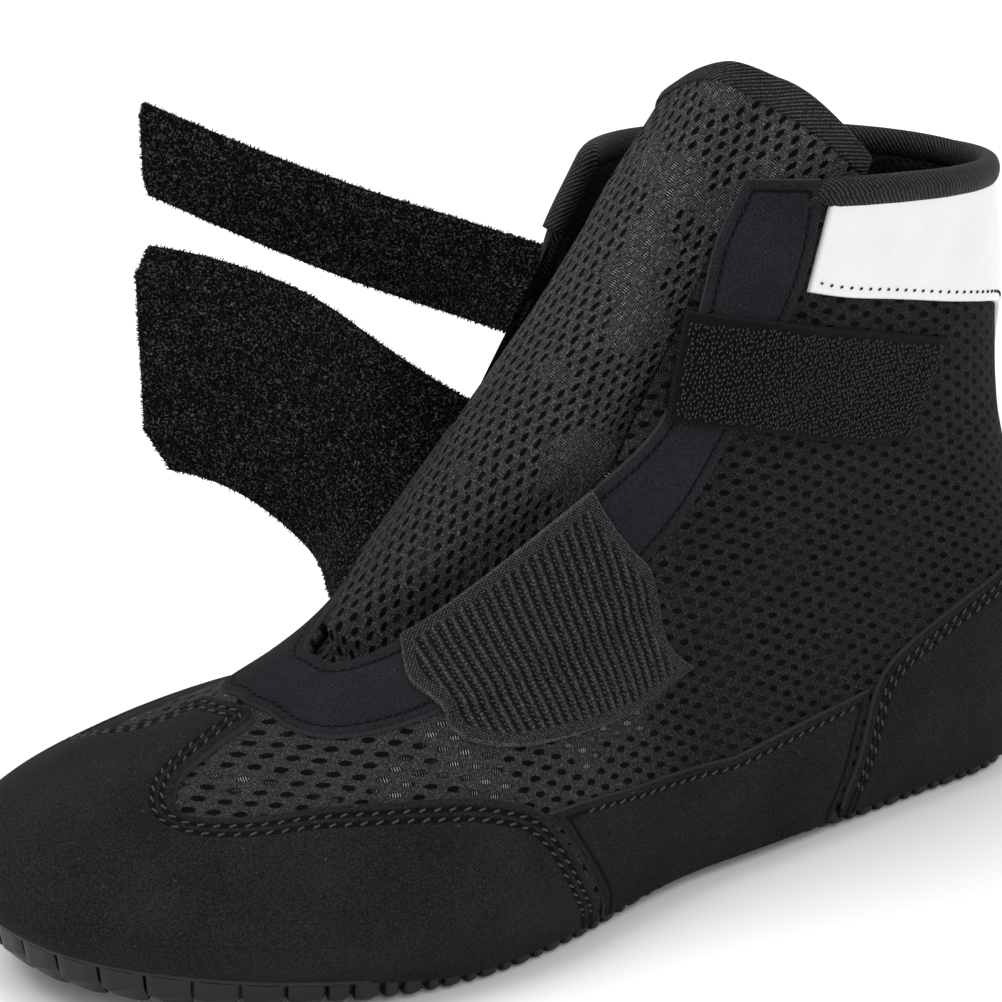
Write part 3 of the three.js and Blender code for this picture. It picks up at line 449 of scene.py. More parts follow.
# Rounded threads end to end along a line, each dipping into the cloth at its ends.
def stitchRow(name, lines, look, finish):
    points, faces = [], []
    sides = 6
    profile = ((0.0, -0.9, 0.5), (0.16, 0.35, 1.0), (0.5, 0.6, 1.0), (0.84, 0.35, 1.0), (1.0, -0.9, 0.5))
    angles = 2 * np.pi * np.arange(sides) / sides
    for line, normals in lines:
        lengths = np.concatenate([[0], np.cumsum(np.linalg.norm(np.diff(line, axis=0), axis=-1))])
        count = int((lengths[-1] - look["margin"] * 2) / look["pitch"])
        for stitch in range(count):
            start = look["margin"] + stitch * look["pitch"]
            reach = look["pitch"] * look["share"]
            at = start + reach * np.array([p[0] for p in profile])
            centre = np.stack([np.interp(at, lengths, line[:, k]) for k in range(3)], -1)
            normal = unit(np.stack([np.interp(at, lengths, normals[:, k]) for k in range(3)], -1))
            tangent = unit(centre[-1] - centre[0])
            aside = unit(np.cross(normal, tangent))
            slant = np.array([p[0] - 0.5 for p in profile]) * reach * look["slant"]
            centre = centre + aside * slant[:, None]
            first = len(points)
            for k, (_, lift, size) in enumerate(profile):
                middle = centre[k] + normal[k] * lift * look["radius"]
                for angle in angles:
                    spoke = aside[k] * math.cos(angle) + normal[k] * math.sin(angle)
                    points.append(middle + spoke * look["radius"] * size)
            for k in range(len(profile) - 1):
                for s in range(sides):
                    a, b = first + k * sides + s, first + k * sides + (s + 1) % sides
                    faces.append((a, b, b + sides, a + sides))
            faces.append(tuple(first + s for s in reversed(range(sides))))
            faces.append(tuple(first + (len(profile) - 1) * sides + s for s in range(sides)))
    return addPiece(name, np.array(points), faces, [finish])


# Shader maths: a Signal is a socket that takes part in Python expressions.
class Signal:
    def __init__(self, tree, socket):
        self.tree = tree
        self.socket = socket

    def maths(self, operation, *values):
        node = self.tree.nodes.new("ShaderNodeMath")
        node.operation = operation
        for socket, value in zip(node.inputs, values):
            connect(self.tree, socket, value)
        return Signal(self.tree, node.outputs[0])

    def __add__(self, other):
        return self.maths("ADD", self, other)

    def __sub__(self, other):
        return self.maths("SUBTRACT", self, other)

    def __rsub__(self, other):
        return self.maths("SUBTRACT", other, self)

    def __mul__(self, other):
        return self.maths("MULTIPLY", self, other)

    def __truediv__(self, other):
        return self.maths("DIVIDE", self, other)

    def __pow__(self, other):
        return self.maths("POWER", self, other)

    __radd__ = __add__
    __rmul__ = __mul__


def connect(tree, socket, value):
    if isinstance(value, Signal):
        tree.links.new(value.socket, socket)
    else:
        socket.default_value = value


class Finish:
    def __init__(self, name):
        self.material = bpy.data.materials.new(name)
        self.material.use_nodes = True
        self.tree = self.material.node_tree
        self.tree.nodes.clear()
        self.output = self.tree.nodes.new("ShaderNodeOutputMaterial")
        self.surface = self.tree.nodes.new("ShaderNodeBsdfPrincipled")
        self.tree.links.new(self.surface.outputs[0], self.output.inputs[0])

    def node(self, kind, settings, inputs, output=0):
        made = self.tree.nodes.new(kind)
        for key, value in settings.items():
            if key == "stops":
                while len(made.color_ramp.elements) > 2:
                    made.color_ramp.elements.remove(made.color_ramp.elements[-1])
                for index, (place, colour) in enumerate(value):
                    element = made.color_ramp.elements[index] if index < 2 else made.color_ramp.elements.new(place)
                    element.position = place
                    element.color = (*colour, 1)
            else:
                setattr(made, key, value)
        for key, value in inputs.items():
            connect(self.tree, made.inputs[key], value)
        return Signal(self.tree, made.outputs[output])

    # Cloth coordinates in millimetres, turned by an angle in degrees.
    def cloth(self, angle=0.0):
        uv = self.node("ShaderNodeUVMap", {"uv_map": "cloth"}, {})
        split = self.tree.nodes.new("ShaderNodeSeparateXYZ")
        self.tree.links.new(uv.socket, split.inputs[0])
        x, y = Signal(self.tree, split.outputs[0]), Signal(self.tree, split.outputs[1])
        if not angle:
            return x, y
        c, s = math.cos(math.radians(angle)), math.sin(math.radians(angle))
        return x * c + y * s, y * c - x * s

    def place(self):
        return self.node("ShaderNodeTexCoord", {}, {}, "Object")

    def axis(self, name):
        split = self.node("ShaderNodeSeparateXYZ", {}, {"Vector": self.place()}, name)
        return split

    # Noise whose grains measure a size in millimetres, from 0 to 1.
    def noise(self, size, detail=2.0, vector=None, roughness=0.5):
        inputs = {"Vector": vector or self.place(), "Scale": 1 / (size * mm), "Detail": detail}
        inputs["Roughness"] = roughness
        return self.node("ShaderNodeTexNoise", {}, inputs, "Fac")

    def ramp(self, value, low, high, start=0.0, stop=1.0):
        inputs = {"Value": value, "From Min": low, "From Max": high, "To Min": start, "To Max": stop}
        return self.node("ShaderNodeMapRange", {"interpolation_type": "SMOOTHSTEP"}, inputs)

    def blend(self, factor, a, b):
        made = self.tree.nodes.new("ShaderNodeMix")
        made.data_type = "RGBA"
        connect(self.tree, made.inputs[0], factor)
        for socket, value in ((made.inputs[6], a), (made.inputs[7], b)):
            connect(self.tree, socket, value if isinstance(value, Signal) else (*value, 1))
        return Signal(self.tree, made.outputs[2])

    def bump(self, height, distance, strength=1.0):
        inputs = {"Height": height, "Distance": distance * mm, "Strength": strength}
        return self.node("ShaderNodeBump", {}, inputs)

    def set(self, **values):
        for name, value in values.items():
            socket = {"colour": "Base Color", "roughness": "Roughness", "normal": "Normal",
                      "sheen": "Sheen Weight", "sheenRoughness": "Sheen Roughness", "coat": "Coat Weight",
                      "coatRoughness": "Coat Roughness", "specular": "Specular IOR Level"}[name]
            if isinstance(value, tuple):
                value = (*value, 1)
            connect(self.tree, self.surface.inputs[socket], value)
        return self.material


def fract(signal):
    return signal.maths("FRACT", signal)


def floor(signal):
    return signal.maths("FLOOR", signal)


def cosine(signal, pitch):
    return signal.maths("COSINE", signal * (2 * math.pi / pitch)) * 0.5 + 0.5


# Knitted spacer mesh: rows of oval holes, staggered, with fine ribs between them. Their insides are painted near
# black as shade, the yarns across them carry painted highlights as short pale dashes, and a painted light gain makes
# the mesh lighter towards the front of the upper and the top of the tongue.
def spacerMesh(name, look):
    finish = Finish(name)
    u, v = finish.cloth(look["angle"])
    u = u + (finish.noise(5.0, 1.0) - 0.5) * 0.7
    v = v + (finish.noise(7.0, 1.0) - 0.5) * 0.5
    row = v / look["rowPitch"]
    along = fract(u / look["holePitch"] + floor(row) * look["stagger"]) - 0.5
    across = fract(row) - 0.5
    ragged = (finish.noise(0.9, 2.0) - 0.5) * 1.4
    reach = ragged + (along / look["holeLong"]) ** 2 + ((across - along * look["tilt"]) / look["holeAcross"]) ** 2
    cloth = finish.ramp(reach, 0.55, 1.35)
    # Painted light: a gain that makes the mesh lighter towards the front of the upper and the top of the tongue.
    front = finish.ramp(finish.axis(look["paintedLightAxis"]), *look["paintedLightSpan"], 1.0, look["paintedLightGain"])
    rib = cosine(u + v * 0.2, look["ribPitch"])
    knit = cosine(u * 0.5 - v, 0.62)
    strand = finish.ramp(finish.noise(0.5, 3.0, roughness=0.85), 0.44, 0.62)
    # Noisy patches where the painted highlights show, limited to the region that the painted light gain lightens.
    patch = finish.ramp(finish.noise(14.0, 1.0), 0.54, 0.64) * finish.ramp(front, 1.0, 1.25, 0.1, 1.0)
    light = cloth * (rib * 0.4 + knit * 0.35 + 0.12) * (strand * 0.85 + 0.15) * front
    # Painted highlights on the yarns across the holes, which also raise the bump a little.
    yarnHighlights = finish.ramp(rib, 0.45, 0.9) * (1 - finish.ramp(reach, 0.3, 1.1)) * patch * front
    colour = finish.blend(light, look["ground"], look["thread"])
    # The holes are real openings of the knit; their near black is painted shade inside them.
    colour = finish.blend(1 - cloth, colour, look["holeShade"])
    # Painted highlight colour laid over those yarns.
    colour = finish.blend(yarnHighlights * look["yarnHighlights"], colour, look["paintedHighlight"])
    height = cloth * 0.75 + rib * cloth * 0.25 + strand * cloth * 0.35 + yarnHighlights * 0.3
    return finish.set(colour=colour, roughness=look["roughness"], normal=finish.bump(height, look["relief"]),
                      sheen=look["sheen"], specular=look["specular"])


# Suede with a fine nap, pale lint specks, a lighter cut edge and painted shade along its stitch channels.
def suede(name, look):
    finish = Finish(name)
    nap = finish.noise(0.4, 3.0, roughness=0.8)
    patches = finish.noise(22.0, 3.0)
    fibres = finish.noise(0.2, 2.0)
    specks = finish.ramp(finish.noise(0.6, 0.0), 0.81, 0.86)
    edge = finish.node("ShaderNodeAttribute", {"attribute_name": "edge"}, {}, "Fac")
    cut = 1 - finish.ramp(edge, 0.12, 0.5)
    tone = nap * 0.82 + patches * 0.18
    colour = finish.blend(finish.ramp(tone, 0.36, 0.66), look["dark"], look["light"])
    colour = finish.blend(specks * 0.4, colour, look["lint"])
    # Painted shade: darker bands along the stitch channels, at set insets from the panel's edge.
    for inset in look["grooves"]:
        gap = edge - inset
        groove = 1 - finish.ramp(gap.maths("ABSOLUTE", gap), look["grooveShadeHalf"] * 0.4, look["grooveShadeHalf"])
        colour = finish.blend(groove * 0.8, colour, look["groove"])
    colour = finish.blend(cut * 0.55, colour, look["cutEdge"])
    height = nap * 0.6 + fibres * 0.4
    return finish.set(colour=colour, roughness=look["roughness"], normal=finish.bump(height, 0.22, 0.8),
                      sheen=look["sheen"], sheenRoughness=0.5, specular=0.08)


def rubber(name, look):
    finish = Finish(name)
    grain = finish.noise(0.5, 2.0)
    dust = finish.noise(9.0, 3.0)
    colour = finish.blend(finish.ramp(dust, 0.35, 0.8), look["dark"], look["light"])
    roughness = finish.ramp(dust, 0.2, 0.8, look["roughness"] - 0.06, look["roughness"] + 0.08)
    return finish.set(colour=colour, roughness=roughness, normal=finish.bump(grain, 0.05, 0.5), specular=0.3)


# Smooth white synthetic leather with a faint grain and a little grey in its folds.
def whiteSynthetic(name, look):
    finish = Finish(name)
    cells = finish.node("ShaderNodeTexVoronoi", {"feature": "DISTANCE_TO_EDGE"},
                        {"Vector": finish.place(), "Scale": 1 / (0.9 * mm)}, "Distance")
    soft = finish.noise(14.0, 2.0)
    edge = finish.node("ShaderNodeAttribute", {"attribute_name": "edge"}, {}, "Fac")
    cut = 1 - finish.ramp(edge, 0.05, 0.45)
    colour = finish.blend(finish.ramp(soft, 0.3, 0.8), look["base"], look["shade"])
    colour = finish.blend(cut * 0.7, colour, look["cutEdge"])
    height = finish.ramp(cells, 0.0, 0.22) * 0.5 + soft
    return finish.set(colour=colour, roughness=look["roughness"], normal=finish.bump(height, 0.05, 0.5),
                      coat=0.12, coatRoughness=0.25, specular=0.5)


# Twill tape: fine diagonal cords.
def twill(name, look):
    finish = Finish(name)
    u, v = finish.cloth(look["angle"])
    wobble = finish.noise(2.5, 2.0)
    cord = cosine(u + wobble * 0.25, look["cordPitch"])
    cross = cosine(v, look["crossPitch"])
    strand = finish.noise(0.3, 2.0)
    light = cord ** 1.6 * (cross * 0.45 + 0.55) * finish.ramp(strand, 0.3, 0.66)
    colour = finish.blend(light, look["dark"], look["light"])
    return finish.set(colour=colour, roughness=look["roughness"],
                      normal=finish.bump(cord * 0.8 + cross * 0.2 + strand * 0.2, 0.25), specular=0.15)


# The woven ground of hook tape: ribs along its rows and a selvedge round its edge.
def hookGround(name, look):
    finish = Finish(name)
    u, v = finish.cloth()
    edge = finish.node("ShaderNodeAttribute", {"attribute_name": "edge"}, {}, "Fac")
    selvedge = 1 - finish.ramp(edge, look["selvedge"] - 0.5, look["selvedge"])
    row = cosine(v, look["rowPitch"]) ** look["sharpness"]
    ribs = row * (cosine(u, look["hookPitch"]) * 0.5 + 0.5)
    weave = cosine(u + v, 0.75) * cosine(u - v, 0.75)
    strand = finish.ramp(finish.noise(0.4, 3.0, roughness=0.75), 0.34, 0.66)
    light = (ribs * (1 - selvedge) * 0.8 + weave * selvedge * 1.6) * strand
    rim = (1 - finish.ramp(edge, 0.2, 0.7)) * strand
    colour = finish.blend(light, look["dark"], look["light"])
    colour = finish.blend(rim * 0.7, colour, look["rim"])
    return finish.set(colour=colour, roughness=0.65, normal=finish.bump(light + strand * 0.3, 0.4), specular=0.12)


# Loop pile: a dense dark fuzz with pale loop tips.
def loopPile(name, look):
    finish = Finish(name)
    fuzz = finish.noise(0.6, 3.0, roughness=0.75)
    curl = finish.noise(1.1, 2.0, roughness=0.6) - 0.5
    clumps = finish.noise(2.4, 3.0)
    strands = 1 - finish.ramp(curl.maths("ABSOLUTE", curl), 0.012, 0.055)
    light = strands * finish.ramp(fuzz, 0.42, 0.62) * finish.ramp(clumps, 0.25, 0.7, 0.4, 1.0)
    colour = finish.blend(finish.ramp(fuzz, 0.35, 0.7), look["dark"], look["middle"])
    colour = finish.blend(light, colour, look["light"])
    return finish.set(colour=colour, roughness=0.95, normal=finish.bump(fuzz * 0.6 + strands * 0.4, 0.8),
                      specular=0.05)


def plain(name, colour, roughness, grain, relief, specular=0.2):
    finish = Finish(name)
    speckle = finish.noise(grain, 2.0)
    darker = tuple(0.6 * c for c in colour)
    return finish.set(colour=finish.blend(finish.ramp(speckle, 0.25, 0.75), darker, colour), roughness=roughness,
                      normal=finish.bump(speckle, relief, 0.6), specular=specular)


# Near black in the holes is painted shade, the pale yarn colour a painted highlight, and the gain a painted light gain
# over the front of the upper.
meshLook = {
    "angle": 3.5, "rowPitch": 1.9, "holePitch": 7.1, "stagger": 0.44, "holeLong": 0.18, "holeAcross": 0.36,
    "tilt": 0.5, "paintedLightAxis": "X", "paintedLightSpan": (0.085, 0.125),
    "ribPitch": 0.5, "ground": (0.0032, 0.0032, 0.0035), "thread": (0.082, 0.081, 0.086),
    "holeShade": (0.0005, 0.0005, 0.0006), "paintedHighlight": (0.3, 0.3, 0.31), "yarnHighlights": 0.45, "paintedLightGain": 2.6,
    "roughness": 0.85, "relief": 0.6,
    "sheen": 0.0, "specular": 0.08,
}
quarterMesh = spacerMesh("quarter_mesh", meshLook)
# The tongue's mesh: a painted light gain towards its top, and stronger painted highlights on its yarns.
tongueMesh = spacerMesh("tongue_mesh", {
    **meshLook, "angle": 0, "rowPitch": 1.65, "holePitch": 5.8, "stagger": 0.5, "holeLong": 0.2, "tilt": 0.0,
    "paintedLightAxis": "Z", "paintedLightSpan": (0.07, 0.15), "paintedLightGain": 1.6, "thread": (0.17, 0.169, 0.176), "yarnHighlights": 0.6,
})
liningMesh = spacerMesh("lining_mesh", {
    **meshLook, "rowPitch": 1.2, "holePitch": 2.8, "holeLong": 0.22, "thread": (0.03, 0.03, 0.032), "yarnHighlights": 0.0,
    "relief": 0.3,
})
# The darkest colour is painted shade for the stitch channels.
suedeLook = {
    "dark": (0.004, 0.0039, 0.0045), "light": (0.0235, 0.023, 0.0248), "lint": (0.09, 0.09, 0.095),
    "cutEdge": (0.055, 0.055, 0.058), "groove": (0.002, 0.002, 0.0022), "grooveShadeHalf": 0.85, "grooves": (2.6, 4.6),
    "roughness": 0.95, "sheen": 0.0,
}
capSuede = suede("cap_suede", suedeLook)
counterSuede = suede("counter_suede", {**suedeLook, "grooves": (2.4, 4.2)})
randSuede = suede("rand_suede", {**suedeLook, "grooves": (2.2,), "grooveShadeHalf": 0.7})
facingSuede = suede("facing_suede", {
    **suedeLook, "dark": (0.0068, 0.0064, 0.0082), "light": (0.0225, 0.0212, 0.0255), "grooves": (2.6,),
    "grooveShadeHalf": 0.45,
})
bandWhite = whiteSynthetic("band_white", {
    "base": (0.765, 0.765, 0.778), "shade": (0.72, 0.72, 0.735), "cutEdge": (0.45, 0.45, 0.47), "roughness": 0.34,
})
rollTwill = twill("roll_twill", {
    "angle": 40, "cordPitch": 0.9, "crossPitch": 0.55, "dark": (0.0008, 0.0008, 0.001),
    "light": (0.08, 0.08, 0.086), "roughness": 0.65,
})
bindingTwill = twill("binding_twill", {
    "angle": -35, "cordPitch": 0.85, "crossPitch": 0.5, "dark": (0.0014, 0.0014, 0.0016),
    "light": (0.1, 0.1, 0.107), "roughness": 0.7,
})
groundLook = {
    "rowPitch": 2.2, "hookPitch": 0.8, "sharpness": 2.5, "selvedge": 3.0, "dark": (0.0016, 0.0016, 0.0018),
    "light": (0.2, 0.2, 0.206), "rim": (0.2, 0.2, 0.206),
}
tapeGround = hookGround("hook_ground", groundLook)
upperGround = hookGround("upper_ground", {
    **groundLook, "rowPitch": 0.9, "hookPitch": 0.9, "sharpness": 1.0, "selvedge": 1.6,
    "dark": (0.0007, 0.0007, 0.0008), "light": (0.014, 0.014, 0.0145), "rim": (0.03, 0.03, 0.031),
})
hookNylon = plain("hook_nylon", (0.06, 0.06, 0.0625), 0.5, 0.4, 0.05, 0.2)
pile = loopPile("loop_pile", {
    "dark": (0.0006, 0.0006, 0.0007), "middle": (0.005, 0.005, 0.0053), "light": (0.13, 0.13, 0.133),
})
pileCurls = plain("pile_curls", (0.012, 0.012, 0.0125), 0.8, 0.4, 0.05, 0.05)
soleRubber = rubber("sole_rubber", {
    "dark": (0.008, 0.008, 0.0095), "light": (0.015, 0.015, 0.017), "roughness": 0.5,
})
threadBlack = plain("thread_black", (0.05, 0.05, 0.053), 0.6, 0.25, 0.1)
threadDark = plain("thread_dark", (0.004, 0.004, 0.0045), 0.6, 0.25, 0.1)
footbedCloth = plain("footbed_cloth", (0.02, 0.02, 0.022), 0.85, 0.5, 0.2)
print("finishes made")

# Upper: the mesh wall with its lining.
upperLook = {"rows": 381, "columns": 80, "throatShare": 0.27, "throatFoot": 0.52, "medialSetBack": 0.035}
rollLook = {
    "height": 6.6, "thickness": 5.0, "out": 0.9, "lift": -0.5, "startBehind": 0.004, "endShare": 0.62,
    "steps": 520, "sides": 24,
}
throatPath = edgePath(throatEdge)
throatTop = throatEdge[-1][0]
facingTop = facingEdge[-1][0]


def rollSeatRing(turn):
    return ringBelow(turn, last["collarRing"], rollLook["height"])


def collarEdgeRing(turn):
    return mixed(rollSeatRing(turn), last["collarRing"], smooth(turn, facingTop - 0.022, facingTop))


def medialThroat(share):
    turn, ring = throatPath(share)
    base = throatEdge[0][1]
    setBack = upperLook["medialSetBack"] * smooth(ring, base, 5.6) * (1 - smooth(ring, 6.7, 7.6))
    top = rollSeatRing(turn)
    return 2 - (turn - setBack), mixed(base, top, (ring - base) / (last["collarRing"] - base))


def topLine(share):
    share = np.asarray(share, float) % 1.0
    throat = upperLook["throatShare"]
    lateral = throatPath(np.clip(share / throat, 0, 1))
    medial = medialThroat(np.clip((1 - share) / throat, 0, 1))
    turn = mixed(throatTop, -throatTop, (share - throat) / (1 - 2 * throat))
    collar = (turn, collarEdgeRing(turn))
    parts = [np.where(share <= throat, a, np.where(share >= 1 - throat, b, c))
             for a, b, c in zip(lateral, medial, collar)]
    return parts[0], parts[1]


def featherTurn(share):
    share = np.asarray(share, float) % 1.0
    lateral = share <= 0.5
    s = np.where(lateral, share, 1 - share)
    throat, foot = upperLook["throatShare"], upperLook["throatFoot"]
    turn = np.where(s <= throat, mixed(1, foot, s / throat), mixed(foot, 0, (s - throat) / (0.5 - throat)))
    return np.where(lateral, turn, 2 - turn)


def buildUpper():
    share = np.linspace(0.5, 1.5, upperLook["rows"])
    share[0] += 1e-6
    turnTop, ringTop = topLine(share)
    foot = featherTurn(share)
    turnTop = np.where((turnTop < 0) | ((share < 0.5001) & (turnTop < 0.01)), turnTop + 2, turnTop)
    v = np.linspace(0, 1, upperLook["columns"])[None, :]
    turn = mixed(foot[:, None], turnTop[:, None], v)
    ring = ringTop[:, None] * v
    outer = skin(turn, ring, 0.0)
    inner = skin(turn, ring, -last["upperWall"])
    shell("upper_mesh", outer, inner, meshPlace(turn, ring), [quarterMesh, liningMesh],
          ["upper"], closed=True)


buildUpper()
print("upper made")

# Overlays of suede. foot is the height at which a panel meets the rubber.
overlayLook = {"base": 0.1, "thickness": 1.15, "rounding": 0.9, "foot": 0.45, "wrapUnder": 2.0}
capLook = {
    **overlayLook, "thickness": 1.55, "channels": (2.6, 4.6), "channelDepth": 0.5, "puffs": ((1.6, 0.12),),
    "medialSpread": 0.05, "medialDrop": 0.1,
}
facingLook = {**overlayLook, "thickness": 1.2, "channels": (2.6,), "channelDepth": 0.45, "crowdAlong": 0.3}
facingLook.pop("foot")
stitchLook = {"pitch": 3.2, "share": 0.56, "radius": 0.3, "margin": 1.5, "slant": 0.4}


# The cap's middle is wider on the medial side.
def medialCap(turn, ring):
    spread = float(smooth(turn, 0.8, 0.87) * (1 - smooth(turn, 0.95, 1)))
    return 2 - turn + capLook["medialSpread"] * spread, ring - capLook["medialDrop"] * spread


def capPlace(along, across):
    edge = edgePath(capEdge + tuple(medialCap(*p) for p in reversed(capEdge[:-1])))
    turnTop, ringTop = edge(along)
    footTurn = mixed(capEdge[0][0], 2 - capEdge[0][0], along)
    return mixed(footTurn, turnTop, across), mixed(0.0, ringTop, across)


def randPlace(medial):
    def place(along, across):
        counter = lambda ring: turnAtRing(counterEdge[2:], ring) + 0.006
        cap = lambda ring: turnAtRing(capEdge[:8], ring) - 0.004
        top = ringAtTurn(randEdge, mixed(counter(1.8), cap(2.0), along))
        ring = across * top
        turn = mixed(counter(ring), cap(ring), along)
        return (2 - turn, ring) if medial else (turn, ring)

    return place


def counterPlace(along, across):
    edge = edgePath(tuple((-t, r) for t, r in reversed(counterEdge[1:])) + counterEdge)
    turnTop, ringTop = edge(along)
    end = counterEdge[-1][0]
    return mixed(mixed(-end, end, along), turnTop, across), ringTop * across


def facingPlace(along, across):
    side = edgePath(facingEdge)
    lateral = along <= 0.5
    shareLateral = np.clip(1 - 2 * along, 0, 1)
    shareMedial = np.clip(2 * along - 1, 0, 1)
    outerTurn, outerRing = side(np.where(lateral, shareLateral, shareMedial))
    capped = np.minimum(outerRing, rollSeatRing(outerTurn) - 0.06)
    outerTurn, outerRing = np.where(lateral, outerTurn, 2 - outerTurn), np.where(lateral, outerRing, capped)
    innerA, innerB = throatPath(shareLateral), medialThroat(shareMedial)
    innerTurn, innerRing = (np.where(lateral, a, b) for a, b in zip(innerA, innerB))
    return mixed(outerTurn, innerTurn, across), mixed(outerRing, innerRing, across)


cap = panel("toe_cap_suede", capPlace, (321, 62), capLook, [capSuede], ["toe_cap"], ("high",))
stitchRow("toe_cap_stitches", [insetLine(cap, "high", 2.6), insetLine(cap, "high", 4.6)], stitchLook,
          threadBlack)
counterLook = {**overlayLook, "thickness": 1.15, "channels": (2.4, 4.2), "channelDepth": 0.3}
counter = panel("heel_counter_suede", counterPlace, (241, 56), counterLook, [counterSuede],
                ["heel_counter"], ("high",))
stitchRow("heel_counter_stitches", [insetLine(counter, "high", 2.4), insetLine(counter, "high", 4.2)],
          stitchLook, threadBlack)
randLook = {**overlayLook, "thickness": 1.0, "channels": (2.2,), "channelDepth": 0.3}
for side, medial in (("lateral", False), ("medial", True)):
    node = f"midfoot_rand_{side}"
    rand = panel(f"{node}_suede", randPlace(medial), (121, 36), randLook, [randSuede], [node],
                 ("high", "start", "end"))
    stitchRow(f"{node}_stitches", [insetLine(rand, "high", 2.2)], stitchLook, threadBlack)
facing = panel("throat_facing_suede", facingPlace, (401, 30), facingLook, [facingSuede],
               ["throat_facing"])
facingRows = [insetLine(facing, "low", 2.6), insetLine(facing, "high", 2.6)]
stitchRow("throat_facing_stitches", facingRows, {**stitchLook, "pitch": 2.1, "radius": 0.26}, threadDark)
print("suede overlays made")

# White band round the collar with its strip down the back, made of two mirrored halves.
bandLook = {
    "base": 0.1, "thickness": 0.95, "rounding": 0.55, "channels": (2.3,), "channelDepth": 0.14,
    "corner": 0.36,
}


def bandPlace(side):
    edge = edgePath(bandEdge)

    def place(along, across):
        turnEdge, ringEdge = edge(along)
        corner = bandLook["corner"]
        spineRing = mixed(bandEdge[0][1], bandTopRing, np.clip(along / corner, 0, 1))
        topTurn = (bandEdge[-1][0] + 0.028) * np.clip((along - corner) / (1 - corner), 0, 1)
        topRings = np.minimum(bandTopRing, rollSeatRing(topTurn) + 0.05)
        targetRing = np.where(along < corner, spineRing, topRings)
        turn = mixed(turnEdge, topTurn, across)
        return side * turn, mixed(ringEdge, targetRing, across)

    return place


bandLines = []
for side, label in ((1, "lateral"), (-1, "medial")):
    replaced = ["collar_band"] if side == 1 else ()
    band = panel(f"collar_band_{label}", bandPlace(side), (201, 40), bandLook, [bandWhite],
                 replaced, ("low", "end"))
    bandLines.append(insetLine(band, "low", 2.3))
stitchRow("collar_band_stitches", bandLines, {**stitchLook, "pitch": 2.8, "share": 0.24, "radius": 0.3},
          threadDark)
print("collar band made")


# A tube of oval section along frames of centres, outward ways and upward ways.
def rollMesh(name, centres, outs, ups, halfOut, halfUp, finish, replaces=(), sides=24):
    angle = 2 * np.pi * np.arange(sides) / sides
    spokes = outs[:, None] * (halfOut[:, None] * np.cos(angle))[..., None]
    spokes = spokes + ups[:, None] * (halfUp[:, None] * np.sin(angle))[..., None]
    points = (centres[:, None] + spokes).reshape(-1, 3)
    steps = len(centres)
    i, s = (a.ravel() for a in np.meshgrid(np.arange(steps - 1), np.arange(sides), indexing="ij"))
    faces = np.stack([i * sides + s, (i + 1) * sides + s, (i + 1) * sides + (s + 1) % sides,
                      i * sides + (s + 1) % sides], 1)
    lengths = np.concatenate([[0], np.cumsum(np.linalg.norm(np.diff(centres, axis=0), axis=-1))])
    girth = 2 * np.pi * np.sqrt((halfOut.max() ** 2 + halfUp.max() ** 2) / 2)
    corners = np.stack([np.stack([lengths[i], s / sides * girth], -1),
                        np.stack([lengths[i + 1], s / sides * girth], -1),
                        np.stack([lengths[i + 1], (s + 1) / sides * girth], -1),
                        np.stack([lengths[i], (s + 1) / sides * girth], -1)], 1)
    turned = facesOut(points, faces)
    if turned is not faces:
        corners = corners[:, ::-1]
    ends = [tuple(range(sides)), tuple((steps - 1) * sides + k for k in reversed(range(sides)))]
    if turned is not faces:
        ends = [tuple(reversed(end)) for end in ends]
    allFaces = turned.tolist() + [list(end) for end in ends]
    cloth = np.concatenate([corners.reshape(-1, 2), np.zeros((2 * sides, 2))])
    return addPiece(name, points, allFaces, [finish], replaces, cloth)


def buildCollarRoll():
    throat = upperLook["throatShare"]
    startTurn = facingTop - rollLook["startBehind"]
    startShare = throat + (throatTop - startTurn) / (2 * throatTop) * (1 - 2 * throat)
    endShare = 1 - throat * rollLook["endShare"]
    share = np.linspace(startShare, endShare, rollLook["steps"])
    def seat(at):
        turn, ring = topLine(at)
        return turn, np.where(turn < facingTop, np.minimum(ring, rollSeatRing(turn)), ring)

    turn, ring = seat(share)
    ahead, behind = seat(share + 0.004), seat(share - 0.004)
    outs = lastNormal(turn, ring)
    tangent = unit(lastPoint(*ahead) - lastPoint(*behind))
    ups = unit(np.cross(tangent, outs))
    ups = np.where((ups[:, 2] < -0.2)[:, None], -ups, ups)
    halfUp = rollLook["height"] / 2
    centres = skin(turn, ring, rollLook["out"] - last["upperWall"] / 2) + ups * (halfUp + rollLook["lift"])
    nearEnd = np.clip(np.minimum(share - startShare, endShare - share) / 0.014, 0, 1)
    endRound = np.sqrt(np.clip(1 - (1 - nearEnd) ** 2, 0.04, 1))
    puff = 1 + 0.035 * np.sin(share * 190) * np.sin(share * 67)
    return rollMesh("collar_roll_twill", centres, outs, ups, rollLook["thickness"] / 2 * endRound * puff,
             halfUp * endRound, rollTwill, ["collar_roll"], rollLook["sides"])


buildCollarRoll()
print("collar roll made")

# Tongue, padded, tucked under the throat's edge, with its twill binding.
tongueLook = {
    "thickness": 6.5, "bulge": 4.2, "lean": 7, "baseRing": 4.6, "peakRing": 8.83, "shoulderDrop": 0.72,
    "length": 125, "bindingWidth": (3.4, 7.6), "bindingProud": 0.5, "rows": 161, "columns": 136,
    "centre": (1.0, 1.0, 0.985, 0.955, 0.92, 0.885, 0.84),
    "halfWidth": (0.14, 0.3, 0.38, 0.385, 0.37, 0.34, 0.3),
}


def tonguePlace(across, along):
    peak = tongueLook["peakRing"] - tongueLook["shoulderDrop"] * np.abs(across) ** 2.1
    ring = mixed(tongueLook["baseRing"], peak, along)
    count = len(tongueLook["centre"]) - 1
    at = (ring - tongueLook["baseRing"]) / (tongueLook["peakRing"] - tongueLook["baseRing"]) * count
    return catmull(tongueLook["centre"], at) - across * catmull(tongueLook["halfWidth"], at), ring


